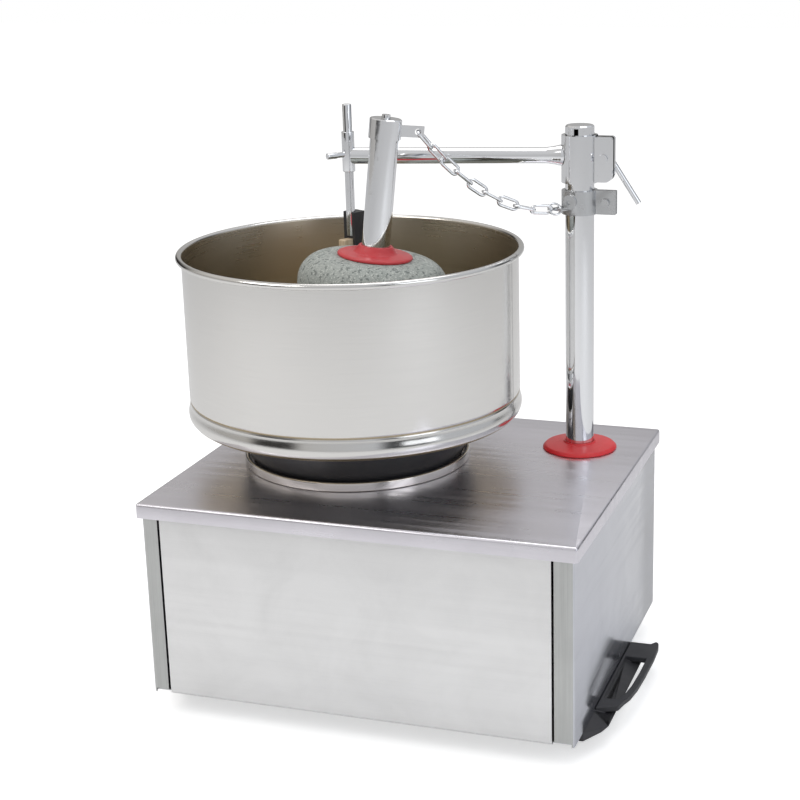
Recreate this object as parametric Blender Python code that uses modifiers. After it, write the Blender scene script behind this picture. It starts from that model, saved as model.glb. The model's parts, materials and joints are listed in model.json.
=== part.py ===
"""A table-top wet grinder, built piece by piece in metres with +Z up.

A sheet steel cabinet hides a motor that turns a steel drum through a belt. A granite roller leans in the
drum on a granite base, on an axle that a chain ties to a post. The post carries an arm with a scraper.
The origin is on the table, under the middle of the whole grinder, and the front of the cabinet faces -Y.
"""

import math

import bmesh
import bpy
from mathutils import Matrix, Vector

OBJECT_NAME = "wet_grinder"

# Gaps, sheet and shared sizes
GAP = 0.0003
SHEET = 0.0012
BEND_RADIUS = 0.003
OVERRUN = 0.010
MERGE_DISTANCE = 0.00001
EDGE_ANGLE = math.radians(32)

# Cabinet
CABINET_WIDTH = 0.480
CABINET_DEPTH = 0.392
CABINET_HEIGHT = 0.218
FOOT_HEIGHT = 0.028
PLATE_SKIRT = 0.016
PLATE_OVERHANG = 0.0045
LEFT_FLANGE = 0.0175
RIGHT_FLANGE = 0.0210
PANEL_GAP = 0.0026
FLANGE_NOTCH = 0.0045
PANEL_RETURN = 0.012
TRAY_LIP = 0.018
VENT_COLUMNS = 2
VENT_ROWS = 7
VENT_LENGTH = 0.060
VENT_WIDTH = 0.005
VENT_PITCH = 0.013
VENT_SPACING = 0.110
TRAY_SLOTS = 5

# Feet
FOOT_RADIUS = 0.017
FOOT_TIP_RADIUS = 0.014
FOOT_CHAMFER = 0.002
FOOT_SIDE_INSET = 0.075
FOOT_END_INSET = 0.095

# Side handles
HANDLE_FRONT = -0.157
HANDLE_REAR = 0.072
HANDLE_DROP = 0.0105
HANDLE_FLARE = 0.0195
HANDLE_INNER = 0.014
HANDLE_LIP = 0.0075
HANDLE_UNDERCUT = 0.006
HANDLE_CHAMFER = 0.035
GRIP_FRONT = -0.105
GRIP_REACH = 0.0346
GRIP_TOP = 0.003
GRIP_THICKNESS = 0.0065
GRIP_BAND = 0.0072
GRIP_SHELF = 0.0030
FINGER_FRONT = -0.080
FINGER_REAR = 0.026

# Outline of the grip's outer side, as shares of its reach and of its length
GRIP_OUTLINE_SHARES = (
    (0.66, 0.060),
    (0.75, 0.145),
    (0.86, 0.215),
    (0.945, 0.345),
    (0.985, 0.530),
    (1.00, 0.770),
    (0.975, 0.930),
    (0.92, 0.985),
    (0.82, 1.000),
    (0.68, 0.960),
)

# Switch and cable gland, on the left side
SWITCH_Y = -0.085
SWITCH_HEIGHT = 0.125
SWITCH_WIDTH = 0.022
SWITCH_LENGTH = 0.031
SWITCH_DEPTH = 0.024
SWITCH_FLANGE = 0.003
SWITCH_FLANGE_THICKNESS = 0.002
SWITCH_RIM = 0.0025
SWITCH_POCKET = 0.013
ROCKER_PIVOT_DEPTH = 0.0025
ROCKER_BACK = 0.005
ROCKER_FRONT = 0.0055
ROCKER_DIP = 0.0020
ROCKER_TILT = math.radians(9)
GLAND_Y = 0.130
GLAND_HEIGHT = 0.035
GLAND_RADIUS = 0.0100
GLAND_NECK = 0.0062
GLAND_BORE = 0.0040
GLAND_REACH = 0.015
GLAND_NUT = 0.005

# Post
POST_X = 0.165
POST_Y = 0.107
POST_RADIUS = 0.016
POST_WALL = 0.002
POST_HEIGHT = 0.3675
POST_EDGE = 0.0015
WINDOW_WIDTH = 0.005
WINDOW_LENGTH = 0.007
WINDOW_DROP = 0.0065
POST_BUSH_RADIUS = 0.042
POST_BUSH_RISE = 0.0060
POST_BUSH_COLLAR = 0.0088
POST_FOOT_RADIUS = 0.034
POST_FOOT_BASE = 0.005
POST_FOOT_HEIGHT = 0.035
POST_FOOT_WALL = 0.005

# Drum
DRUM_X = -0.071
DRUM_Y = 0.017
DRUM_RADIUS = 0.1844
DRUM_HEIGHT = 0.1893
DRUM_LIFT = 0.0517
DRUM_SHEET = 0.001
RIM_OVERHANG = 0.0062
SEAM_HEIGHT = 0.0263
SEAM_WIDTH = 0.0050
SEAM_DEPTH = 0.0008
BULGE = 0.0026
BULGE_HEIGHT = 0.012
LIP_WIDTH = 0.009
FLOOR_RISE = 0.002
BASE_STONE_HEIGHT = 0.0353
BASE_STONE_EDGE = 0.006
BASE_STONE_EDGE_WIDTH = 0.030

# Turntable, its ring and its spindle
TURNTABLE_RADIUS = 0.135
TURNTABLE_FOOT_RADIUS = 0.118
TURNTABLE_RIM_HEIGHT = 0.044
TURNTABLE_CLEARANCE = 0.004
TURNTABLE_SEAT_RADIUS = 0.112
TURNTABLE_WALL = 0.006
HUB_RADIUS = 0.026
HUB_CLEARANCE = 0.005
HUB_BORE_DEPTH = 0.034
SEAT_RING_RADIUS = 0.1274
SEAT_RING_WIDTH = 0.0050
SEAT_RING_HEIGHT = 0.0104
SPINDLE_RADIUS = 0.0122
SPINDLE_TAIL_RADIUS = 0.0100

# Bearings and their housing
BEARING_RADIUS = 0.0235
BEARING_HEIGHT = 0.012
BEARING_EDGE = 0.001
HOUSING_RADIUS = 0.030
HOUSING_TIP_RADIUS = 0.027
HOUSING_RISE = 0.003
HOUSING_LENGTH = 0.098
HOUSING_FLANGE_RADIUS = 0.052
HOUSING_FLANGE = 0.006
HOUSING_SHOULDER = 0.018
MOUNT_THICKNESS = 0.005
MOUNT_WIDTH = 0.370
MOUNT_DEPTH = 0.250
MOUNT_X = 0.015
MOUNT_Y = 0.015

# Motor, pulleys, belt and capacitor
MOTOR_X = 0.115
MOTOR_Y = -0.060
MOTOR_RADIUS = 0.065
MOTOR_LENGTH = 0.118
MOTOR_SHOULDER = 0.010
MOTOR_NOSE_RADIUS = 0.024
MOTOR_NOSE_LENGTH = 0.008
MOTOR_SHAFT_RADIUS = 0.0065
MOTOR_SHAFT_SEAT = 0.033
BRACKET_THICKNESS = 0.003
BRACKET_DEPTH = 0.090
BRACKET_EAR = 0.045
PULLEY_LEVEL = 0.055
PULLEY_WIDTH = 0.020
PULLEY_RADIUS = 0.105
PULLEY_RIM = 0.012
PULLEY_WEB = 0.006
PULLEY_HUB = 0.020
PULLEY_HUB_RISE = 0.004
PULLEY_HOLES = 5
PULLEY_HOLE_RADIUS = 0.018
PULLEY_HOLE_CIRCLE = 0.056
GROOVE_DEPTH = 0.0070
GROOVE_FLARE = 0.0015
MOTOR_PULLEY_RADIUS = 0.0208
BELT_HEIGHT = 0.008
BELT_THICKNESS = 0.005
CAPACITOR_SIDE_INSET = 0.0455
CAPACITOR_FRONT_INSET = 0.0515
CAPACITOR_RADIUS = 0.018
CAPACITOR_LENGTH = 0.062
CAPACITOR_TERMINAL = 0.005

# Roller stone, its bushes and its axle
STONE_OFFSET_X = 0.0343
STONE_OFFSET_Y = -0.0598
STONE_LEAN = math.radians(6.39)
STONE_LEAN_HEADING = math.radians(18)
STONE_RADIUS = 0.080
STONE_LENGTH = 0.145
STONE_SHOULDER = 0.028
STONE_HEEL = 0.010
STONE_BORE = 0.021
STONE_RECESS_RADIUS = 0.032
STONE_RECESS = 0.006
AXLE_RADIUS = 0.015
AXLE_WALL = 0.0025
AXLE_LIFT = 0.004
AXLE_LENGTH = 0.2858
BUSH_RADIUS = 0.040
BUSH_RIM = 0.0030
BUSH_DOME = 0.0050
BUSH_HUB_RADIUS = 0.0175
BUSH_HUB_HEIGHT = 0.0128
BUSH_SLEEVE = 0.045
CAP_RADIUS = 0.017
CAP_LENGTH = 0.021
CAP_BORE_DEPTH = 0.015
CAP_EDGE = 0.001
CAP_NUB_RADIUS = 0.0045
CAP_NUB_HEIGHT = 0.0040
LUG_THICKNESS = 0.0028
LUG_HEIGHT = 0.012
LUG_REACH = 0.0420
LUG_HOLE_REACH = 0.0352
LUG_HOLE_RADIUS = 0.0034
LUG_DROP = 0.0124

# Chain
LINK_COUNT = 9
LINK_WIRE = 0.0034
LINK_WIDTH = 0.0130
LINK_INNER_LENGTH = 0.0200
LINK_PLAY = 0.0003
LINK_ARC_POINTS = 7
RING_DIAMETER = 0.0165
RING_WIRE = 0.0026
RING_POINTS = 16
TWIST_STEP = math.radians(26)
FIRST_TWIST = math.radians(66)
LAST_TWIST = math.radians(-50)
SAG_LIMIT_SHARE = 0.5
SOLVER_STEPS = 48

# Chain clamp on the post
CHAIN_CLAMP_LEVEL = 0.2837
CHAIN_CLAMP_HEIGHT = 0.0262
CLAMP_SLEEVE_WALL = 0.0038
CHAIN_EAR_REACH = 0.041
CHAIN_EAR_THICKNESS = 0.010
CLAMP_SLOT = 0.0025
CHAIN_BOLT_REACH = 0.030
CHAIN_BOLT_RADIUS = 0.0025
CHAIN_BOLT_HEAD_RADIUS = 0.0050
CHAIN_BOLT_HEAD = 0.0035
BOSS_X = -0.006
BOSS_RISE = 0.0023
BOSS_RADIUS = 0.0080
BOSS_REACH = 0.0245
BOSS_SOCKET_RADIUS = 0.0030
BOSS_SOCKET_DEPTH = 0.0030
EYE_X = -0.0145
EYE_Y = -0.0280
EYE_DROP = 0.0042
EYE_THICKNESS = 0.003
EYE_WIDTH = 0.0130
EYE_HOLE_RADIUS = 0.0041
EYE_END = 0.0065

# Arm, its clamp and its lever
ARM_LEVEL = 0.3343
ARM_HEADING = math.radians(192)
ARM_REACH = 0.255
ARM_RADIUS = 0.009
ARM_FLARE_RADIUS = 0.0118
ARM_FLARE_LENGTH = 0.016
ARM_CLAMP_TOP = 0.0227
ARM_CLAMP_BOTTOM = 0.0293
EAR_REACH = 0.038
EAR_TOP = 0.0212
EAR_BOTTOM = 0.0279
EAR_THICKNESS = 0.0175
EAR_SLOT = 0.0055
EAR_CORNER = 0.0030
EAR_LOWER_CORNER = 0.0080
LEVER_BOLT_REACH = 0.028
LEVER_BOLT_DROP = 0.0023
LEVER_BOLT_RADIUS = 0.0030
LEVER_HEAD_RADIUS = 0.0052
LEVER_HEAD = 0.0030
LEVER_HUB_RADIUS = 0.0055
LEVER_HUB_LENGTH = 0.015
LEVER_RADIUS = 0.0032
LEVER_SPREAD = 0.034
LEVER_DROP = 0.0518

# Tee at the arm's end, scraper rod and board
TEE_RADIUS = 0.007
TEE_TOP = 0.0267
TEE_BOTTOM = 0.0173
LOCK_LEVEL = 0.0017
LOCK_HEADING = math.radians(232)
LOCK_RADIUS = 0.0030
LOCK_LENGTH = 0.020
LOCK_GRIP_RADIUS = 0.0034
LOCK_GRIP_LENGTH = 0.012
ROD_RADIUS = 0.005
ROD_TOP = 0.0567
ROD_BOTTOM = 0.0890
HOLDER_WIDTH = 0.018
HOLDER_FRONT = 0.003
HOLDER_BACK = 0.014
HOLDER_TOP = 0.0623
HOLDER_BOTTOM = 0.1010
HOLDER_WEB = 0.0030
BOARD_HEADING = math.radians(65)
BOARD_THICKNESS = 0.010
BOARD_FRONT = 0.0155
BOARD_BACK = 0.055
BOARD_FLOOR_GAP = 0.003
BOARD_CORNER = 0.012
BOARD_EDGE = 0.0015

# Facets around round pieces
DRUM_STEPS = 64
STONE_STEPS = 48
DISC_STEPS = 32
TUBE_STEPS = 20
SMALL_STEPS = 16

# Levels and faces that follow from the sizes above
BASE_LEVEL = FOOT_HEIGHT
PLATE_LEVEL = FOOT_HEIGHT + CABINET_HEIGHT
PLATE_UNDERSIDE = PLATE_LEVEL - SHEET
WALL_TOP = PLATE_UNDERSIDE - GAP
BODY_HALF_WIDTH = CABINET_WIDTH / 2 - PLATE_OVERHANG
BODY_HALF_DEPTH = CABINET_DEPTH / 2 - PLATE_OVERHANG
TRAY_UNDERSIDE = BASE_LEVEL + SHEET + GAP
TRAY_FLOOR = TRAY_UNDERSIDE + SHEET
DRUM_LEVEL = PLATE_LEVEL + DRUM_LIFT
DRUM_FLOOR = FLOOR_RISE + DRUM_SHEET
BASE_STONE_TOP = DRUM_FLOOR + GAP + BASE_STONE_HEIGHT
RIM_RADIUS = DRUM_RADIUS + RIM_OVERHANG
CAPACITOR_X = CAPACITOR_SIDE_INSET - BODY_HALF_WIDTH
CAPACITOR_Y = CAPACITOR_FRONT_INSET - BODY_HALF_DEPTH
SLEEVE_RADIUS = POST_RADIUS + GAP + CLAMP_SLEEVE_WALL
ARM_WORLD_LEVEL = PLATE_LEVEL + ARM_LEVEL
REAR_SHIFT = (DRUM_Y + RIM_RADIUS - CABINET_DEPTH / 2) / 2

FINISHES = {
    "polished steel": ((0.78, 0.78, 0.77), 0.16, 1.0),
    "brushed steel": ((0.66, 0.66, 0.68), 0.34, 1.0),
    "chrome": ((0.86, 0.87, 0.88), 0.08, 1.0),
    "zinc": ((0.62, 0.64, 0.66), 0.42, 1.0),
    "grey paint": ((0.22, 0.24, 0.26), 0.48, 0.0),
    "black casting": ((0.030, 0.030, 0.033), 0.45, 0.0),
    "black plastic": ((0.035, 0.035, 0.040), 0.42, 0.0),
    "red nylon": ((0.60, 0.050, 0.060), 0.36, 0.0),
    "granite": ((0.36, 0.38, 0.36), 0.80, 0.0),
    "wood": ((0.62, 0.46, 0.29), 0.62, 0.0),
    "rubber": ((0.020, 0.020, 0.020), 0.85, 0.0),
    "aluminium": ((0.70, 0.71, 0.72), 0.40, 1.0),
}


def clear_scene():
    """Remove what a new Blender file holds."""
    for obj in list(bpy.data.objects):
        bpy.data.objects.remove(obj, do_unlink=True)


def new_collection(name):
    """A collection of the scene."""
    collection = bpy.data.collections.new(name)
    bpy.context.scene.collection.children.link(collection)
    return collection


clear_scene()
PARTS = new_collection(OBJECT_NAME)
TOOLS = new_collection("cutters")


def new_material(name, finish):
    """A plain material with one of the finishes."""
    colour, roughness, metallic = FINISHES[finish]
    material = bpy.data.materials.new(name)
    material.use_nodes = True
    shader = material.node_tree.nodes["Principled BSDF"]
    shader.inputs["Base Color"].default_value = (*colour, 1.0)
    shader.inputs["Roughness"].default_value = roughness
    shader.inputs["Metallic"].default_value = metallic
    return material


def place(obj, parent, location, rotation):
    """Put an object at a place in its parent's frame."""
    obj.parent = parent
    obj.location = location
    obj.rotation_euler = rotation


def add_part(name, data, finish, parent=None, location=(0, 0, 0), rotation=(0, 0, 0)):
    """A piece of the grinder, with its own material."""
    obj = bpy.data.objects.new(name, data)
    PARTS.objects.link(obj)
    place(obj, parent, location, rotation)
    data.materials.clear()
    data.materials.append(new_material(name, finish))
    return obj


def add_tool(name, data, parent=None, location=(0, 0, 0), rotation=(0, 0, 0)):
    """A hidden solid that shapes a piece."""
    obj = bpy.data.objects.new(name, data)
    TOOLS.objects.link(obj)
    place(obj, parent, location, rotation)
    obj.hide_render = True
    obj.display_type = "WIRE"
    return obj


def add_pivot(name, location, rotation=(0, 0, 0)):
    """An empty on an axis that pieces turn about."""
    pivot = bpy.data.objects.new(name, None)
    PARTS.objects.link(pivot)
    place(pivot, None, location, rotation)
    return pivot


def combine(obj, tool, operation):
    """Join a tool to a piece, or cut the piece with it."""
    modifier = obj.modifiers.new(operation.lower(), "BOOLEAN")
    modifier.operation = operation
    modifier.solver = "EXACT"
    modifier.object = tool


def cut(obj, *tools):
    """Cut a piece with solids."""
    for tool in tools:
        combine(obj, tool, "DIFFERENCE")


def fuse(obj, *tools):
    """Join solids to a piece."""
    for tool in tools:
        combine(obj, tool, "UNION")


def add_bevel(obj, width, segments):
    """Round the sharp edges of a piece."""
    bevel = obj.modifiers.new("rounding", "BEVEL")
    bevel.width = width
    bevel.segments = segments
    bevel.limit_method = "ANGLE"
    bevel.angle_limit = EDGE_ANGLE


def add_wall(obj, thickness):
    """Give an open surface its wall, behind the face that shows."""
    wall = obj.modifiers.new("wall", "SOLIDIFY")
    wall.thickness = thickness
    wall.offset = -1
    wall.use_even_offset = True


def add_turning(obj, steps):
    """Turn a profile round the object's Z axis."""
    turning = obj.modifiers.new("turning", "SCREW")
    turning.axis = "Z"
    turning.angle = math.tau
    turning.steps = steps
    turning.render_steps = steps
    turning.screw_offset = 0
    turning.use_merge_vertices = True
    turning.merge_threshold = MERGE_DISTANCE
    turning.use_smooth_shade = True


def profile_data(name, points):
    """Edges through profile points of radius and height. Off the axis the profile is a closed loop."""
    data = bpy.data.meshes.new(name)
    edges = [(i, i + 1) for i in range(len(points) - 1)]
    if points[0][0] > MERGE_DISTANCE:
        edges.append((len(points) - 1, 0))
    data.from_pydata([(radius, 0, height) for radius, height in points], edges, [])
    return data


def turned_part(name, points, steps, finish, parent=None, location=(0, 0, 0), rotation=(0, 0, 0)):
    """A turned piece. Its profile runs down the outer side, top to bottom."""
    obj = add_part(name, profile_data(name, points), finish, parent, location, rotation)
    add_turning(obj, steps)
    return obj


def arc(centre_radius, centre_height, radius, start, end, count):
    """Points of an arc in a profile, from one angle to another, in degrees."""
    points = []
    for i in range(count):
        angle = math.radians(start + (end - start) * i / (count - 1))
        points.append((centre_radius + radius * math.cos(angle), centre_height + radius * math.sin(angle)))
    return points


def mesh_from(bm, name):
    """The mesh of a bmesh, which is freed."""
    data = bpy.data.meshes.new(name)
    bm.to_mesh(data)
    bm.free()
    return data


def box_data(name, low, high):
    """A box between two corners."""
    low = Vector(low)
    high = Vector(high)
    bm = bmesh.new()
    place_box = Matrix.Translation((low + high) / 2) @ Matrix.Diagonal((*(high - low), 1))
    bmesh.ops.create_cube(bm, size=1, matrix=place_box)
    return mesh_from(bm, name)


def boxes_data(name, boxes):
    """Several boxes that don't touch, in one mesh."""
    bm = bmesh.new()
    for low, high in boxes:
        low = Vector(low)
        high = Vector(high)
        place_box = Matrix.Translation((low + high) / 2) @ Matrix.Diagonal((*(high - low), 1))
        bmesh.ops.create_cube(bm, size=1, matrix=place_box)
    return mesh_from(bm, name)


def rod_data(name, start, end, radius, steps):
    """A round bar between two points."""
    start = Vector(start)
    end = Vector(end)
    along = end - start
    turn = along.to_track_quat("Z", "Y").to_matrix().to_4x4()
    bm = bmesh.new()
    bmesh.ops.create_cone(
        bm,
        cap_ends=True,
        segments=steps,
        radius1=radius,
        radius2=radius,
        depth=along.length,
        matrix=Matrix.Translation((start + end) / 2) @ turn,
    )
    data = mesh_from(bm, name)
    data.shade_smooth()
    data.set_sharp_from_angle(angle=EDGE_ANGLE)
    return data


def sheet_data(name, section, along):
    """An open sheet, a section swept along a vector. Its face points to where step cross sweep points."""
    along = Vector(along)
    bm = bmesh.new()
    corners = [bm.verts.new(point) for point in section]
    edges = [bm.edges.new((a, b)) for a, b in zip(corners, corners[1:])]
    swept = bmesh.ops.extrude_edge_only(bm, edges=edges)
    moved = [item for item in swept["geom"] if isinstance(item, bmesh.types.BMVert)]
    bmesh.ops.translate(bm, verts=moved, vec=along)
    bmesh.ops.recalc_face_normals(bm, faces=bm.faces)
    outward = (Vector(section[1]) - Vector(section[0])).cross(along)
    first = edges[0].link_faces[0]
    if first.normal.dot(outward) < 0:
        bmesh.ops.reverse_faces(bm, faces=bm.faces)
    return mesh_from(bm, name)


def folded_part(name, section, along, thickness, bend, finish, parent=None, location=(0, 0, 0)):
    """A piece of folded sheet."""
    obj = add_part(name, sheet_data(name, section, along), finish, parent, location)
    add_bevel(obj, bend, 3)
    add_wall(obj, thickness)
    return obj


def curve_mesh(curve, name):
    """The closed mesh of a curve, which is removed."""
    obj = bpy.data.objects.new(name, curve)
    TOOLS.objects.link(obj)
    depsgraph = bpy.context.evaluated_depsgraph_get()
    data = bpy.data.meshes.new_from_object(obj.evaluated_get(depsgraph))
    bm = bmesh.new()
    bm.from_mesh(data)
    bmesh.ops.remove_doubles(bm, verts=bm.verts, dist=MERGE_DISTANCE)
    bm.to_mesh(data)
    bm.free()
    bpy.data.objects.remove(obj, do_unlink=True)
    bpy.data.curves.remove(curve)
    data.name = name
    return data


def add_loop(curve, points):
    """A closed run of straight stretches in a curve."""
    spline = curve.splines.new("POLY")
    spline.points.add(len(points) - 1)
    for target, point in zip(spline.points, points):
        target.co = (*point, 0, 1) if len(point) == 2 else (*point, 1)
    spline.use_cyclic_u = True


def plate_data(name, loops, thickness):
    """A flat plate round the XY plane, an outline and any holes in it."""
    curve = bpy.data.curves.new(name, "CURVE")
    curve.dimensions = "2D"
    curve.fill_mode = "BOTH"
    curve.extrude = thickness / 2
    for points in loops:
        add_loop(curve, points)
    return curve_mesh(curve, name)


def rounded_corners(corners, radii, count=4):
    """An outline whose corners are rounded, each by its own radius."""
    points = []
    total = len(corners)
    for i, radius in enumerate(radii):
        corner = Vector(corners[i])
        before = (Vector(corners[i - 1]) - corner).normalized()
        after = (Vector(corners[(i + 1) % total]) - corner).normalized()
        if radius <= MERGE_DISTANCE:
            points.append(tuple(corner))
            continue
        half = before.angle(after) / 2
        centre = corner + (before + after).normalized() * radius / math.sin(half)
        start = corner + before * radius / math.tan(half) - centre
        end = corner + after * radius / math.tan(half) - centre
        for k in range(count + 1):
            share = k / count
            points.append(tuple(centre + start.slerp(end, share).normalized() * radius))
    return points


def top_plate():
    """A shallow pan, upside down, that closes the cabinet."""
    half_width = CABINET_WIDTH / 2
    half_depth = CABINET_DEPTH / 2
    bm = bmesh.new()
    size = Matrix.Diagonal((CABINET_WIDTH, CABINET_DEPTH, PLATE_SKIRT, 1))
    lift = Matrix.Translation((0, 0, PLATE_LEVEL - PLATE_SKIRT / 2))
    bmesh.ops.create_cube(bm, size=1, matrix=lift @ size)
    bm.faces.ensure_lookup_table()
    underside = [face for face in bm.faces if face.normal.z < -half_width / (half_width + half_depth)]
    bmesh.ops.delete(bm, geom=underside, context="FACES_ONLY")
    obj = add_part("top_plate", mesh_from(bm, "top_plate"), "brushed steel")
    add_bevel(obj, BEND_RADIUS, 3)
    add_wall(obj, SHEET)
    cut(obj, housing_hole("top_plate_housing_hole"), post_hole("top_plate_post_hole"))
    return obj


def housing_hole(name):
    """A hole round the bearing housing, through the top plate and the mount plate."""
    low = (DRUM_X, DRUM_Y, PLATE_LEVEL - SHEET - MOUNT_THICKNESS - OVERRUN)
    high = (DRUM_X, DRUM_Y, PLATE_LEVEL + OVERRUN)
    return add_tool(name, rod_data(name, low, high, HOUSING_RADIUS + GAP, DISC_STEPS))


def post_hole(name):
    """A hole round the post, through the top plate and the mount plate."""
    low = (POST_X, POST_Y, PLATE_LEVEL - SHEET - MOUNT_THICKNESS - OVERRUN)
    high = (POST_X, POST_Y, PLATE_LEVEL + OVERRUN)
    return add_tool(name, rod_data(name, low, high, POST_RADIUS + GAP, TUBE_STEPS))


def side_wall(name, side, flange):
    """A side of the cabinet, folded round its two ends like corner posts. The side is 1 or -1."""
    wall_x = side * BODY_HALF_WIDTH
    end_x = side * (BODY_HALF_WIDTH - flange)
    section = [
        (end_x, -side * BODY_HALF_DEPTH, BASE_LEVEL),
        (wall_x, -side * BODY_HALF_DEPTH, BASE_LEVEL),
        (wall_x, side * BODY_HALF_DEPTH, BASE_LEVEL),
        (end_x, side * BODY_HALF_DEPTH, BASE_LEVEL),
    ]
    obj = folded_part(name, section, (0, 0, WALL_TOP - BASE_LEVEL), SHEET, BEND_RADIUS, "polished steel")
    inner_x = side * (BODY_HALF_WIDTH - BEND_RADIUS)
    past_x = side * (BODY_HALF_WIDTH - flange - OVERRUN)
    notches = []
    for end in (-1, 1):
        low = (min(inner_x, past_x), end * BODY_HALF_DEPTH - OVERRUN, BASE_LEVEL - OVERRUN)
        high = (max(inner_x, past_x), end * BODY_HALF_DEPTH + OVERRUN, BASE_LEVEL + FLANGE_NOTCH)
        notches.append((low, high))
    cut(obj, add_tool(name + "_notches", boxes_data(name + "_notches", notches)))
    return obj


def left_side():
    """The left side, with the holes for the switch and the cable gland."""
    obj = side_wall("left_side", -1, LEFT_FLANGE)
    wall = -BODY_HALF_WIDTH
    half_width = SWITCH_WIDTH / 2 + GAP
    half_length = SWITCH_LENGTH / 2 + GAP
    switch_z = BASE_LEVEL + SWITCH_HEIGHT
    low = (wall - OVERRUN, SWITCH_Y - half_width, switch_z - half_length)
    high = (wall + OVERRUN, SWITCH_Y + half_width, switch_z + half_length)
    opening = add_tool("switch_opening", box_data("switch_opening", low, high))
    gland_z = BASE_LEVEL + GLAND_HEIGHT
    start = (wall - OVERRUN, GLAND_Y, gland_z)
    end = (wall + OVERRUN, GLAND_Y, gland_z)
    gland_hole = add_tool("gland_hole", rod_data("gland_hole", start, end, GLAND_NECK + GAP, SMALL_STEPS))
    cut(obj, opening, gland_hole)
    return obj


def front_or_rear_panel(name, side):
    """A panel between the flanges of the sides, folded back along its top and bottom."""
    left_x = -BODY_HALF_WIDTH + LEFT_FLANGE + PANEL_GAP
    right_x = BODY_HALF_WIDTH - RIGHT_FLANGE - PANEL_GAP
    face_y = side * BODY_HALF_DEPTH
    back_y = side * (BODY_HALF_DEPTH - PANEL_RETURN)
    section = [
        (left_x, back_y, WALL_TOP),
        (left_x, face_y, WALL_TOP),
        (left_x, face_y, BASE_LEVEL),
        (left_x, back_y, BASE_LEVEL),
    ]
    if side > 0:
        section.reverse()
    return folded_part(name, section, (right_x - left_x, 0, 0), SHEET, BEND_RADIUS, "polished steel")


def rear_panel():
    """The rear panel has two columns of vent slots."""
    obj = front_or_rear_panel("rear_panel", 1)
    slots = []
    middle = (BASE_LEVEL + WALL_TOP) / 2
    for column in range(VENT_COLUMNS):
        centre_x = (column - (VENT_COLUMNS - 1) / 2) * VENT_SPACING
        for row in range(VENT_ROWS):
            centre_z = middle + (row - (VENT_ROWS - 1) / 2) * VENT_PITCH
            low = (centre_x - VENT_LENGTH / 2, BODY_HALF_DEPTH - OVERRUN, centre_z - VENT_WIDTH / 2)
            high = (centre_x + VENT_LENGTH / 2, BODY_HALF_DEPTH + OVERRUN, centre_z + VENT_WIDTH / 2)
            slots.append((low, high))
    cut(obj, add_tool("vent_slots", boxes_data("vent_slots", slots)))
    return obj


def base_tray():
    """The floor of the cabinet, with a lip along each side and slots under the motor."""
    half_width = BODY_HALF_WIDTH - SHEET - GAP
    half_depth = BODY_HALF_DEPTH - BEND_RADIUS - GAP
    section = [
        (half_width, -half_depth, TRAY_UNDERSIDE + TRAY_LIP),
        (half_width, -half_depth, TRAY_UNDERSIDE),
        (-half_width, -half_depth, TRAY_UNDERSIDE),
        (-half_width, -half_depth, TRAY_UNDERSIDE + TRAY_LIP),
    ]
    obj = folded_part("base_tray", section, (0, 2 * half_depth, 0), SHEET, BEND_RADIUS, "zinc")
    slots = []
    for row in range(TRAY_SLOTS):
        centre_y = MOTOR_Y + (row - (TRAY_SLOTS - 1) / 2) * VENT_PITCH
        low = (MOTOR_X - VENT_LENGTH / 2, centre_y - VENT_WIDTH / 2, TRAY_UNDERSIDE - OVERRUN)
        high = (MOTOR_X + VENT_LENGTH / 2, centre_y + VENT_WIDTH / 2, TRAY_UNDERSIDE + OVERRUN)
        slots.append((low, high))
    cut(obj, add_tool("tray_slots", boxes_data("tray_slots", slots)))
    return obj


def feet():
    """Four rubber feet, set well in under the tray."""
    top = TRAY_UNDERSIDE - GAP
    profile = [
        (0, top),
        (FOOT_RADIUS, top),
        (FOOT_TIP_RADIUS, FOOT_CHAMFER),
        (FOOT_TIP_RADIUS - FOOT_CHAMFER, 0),
        (0, 0),
    ]
    for across, side in (("left", -1), ("right", 1)):
        for along, end in (("front", -1), ("rear", 1)):
            place_x = side * (BODY_HALF_WIDTH - FOOT_SIDE_INSET)
            place_y = end * (BODY_HALF_DEPTH - FOOT_END_INSET)
            name = f"foot_{along}_{across}"
            turned_part(name, profile, SMALL_STEPS, "rubber", location=(place_x, place_y, 0))


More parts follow.
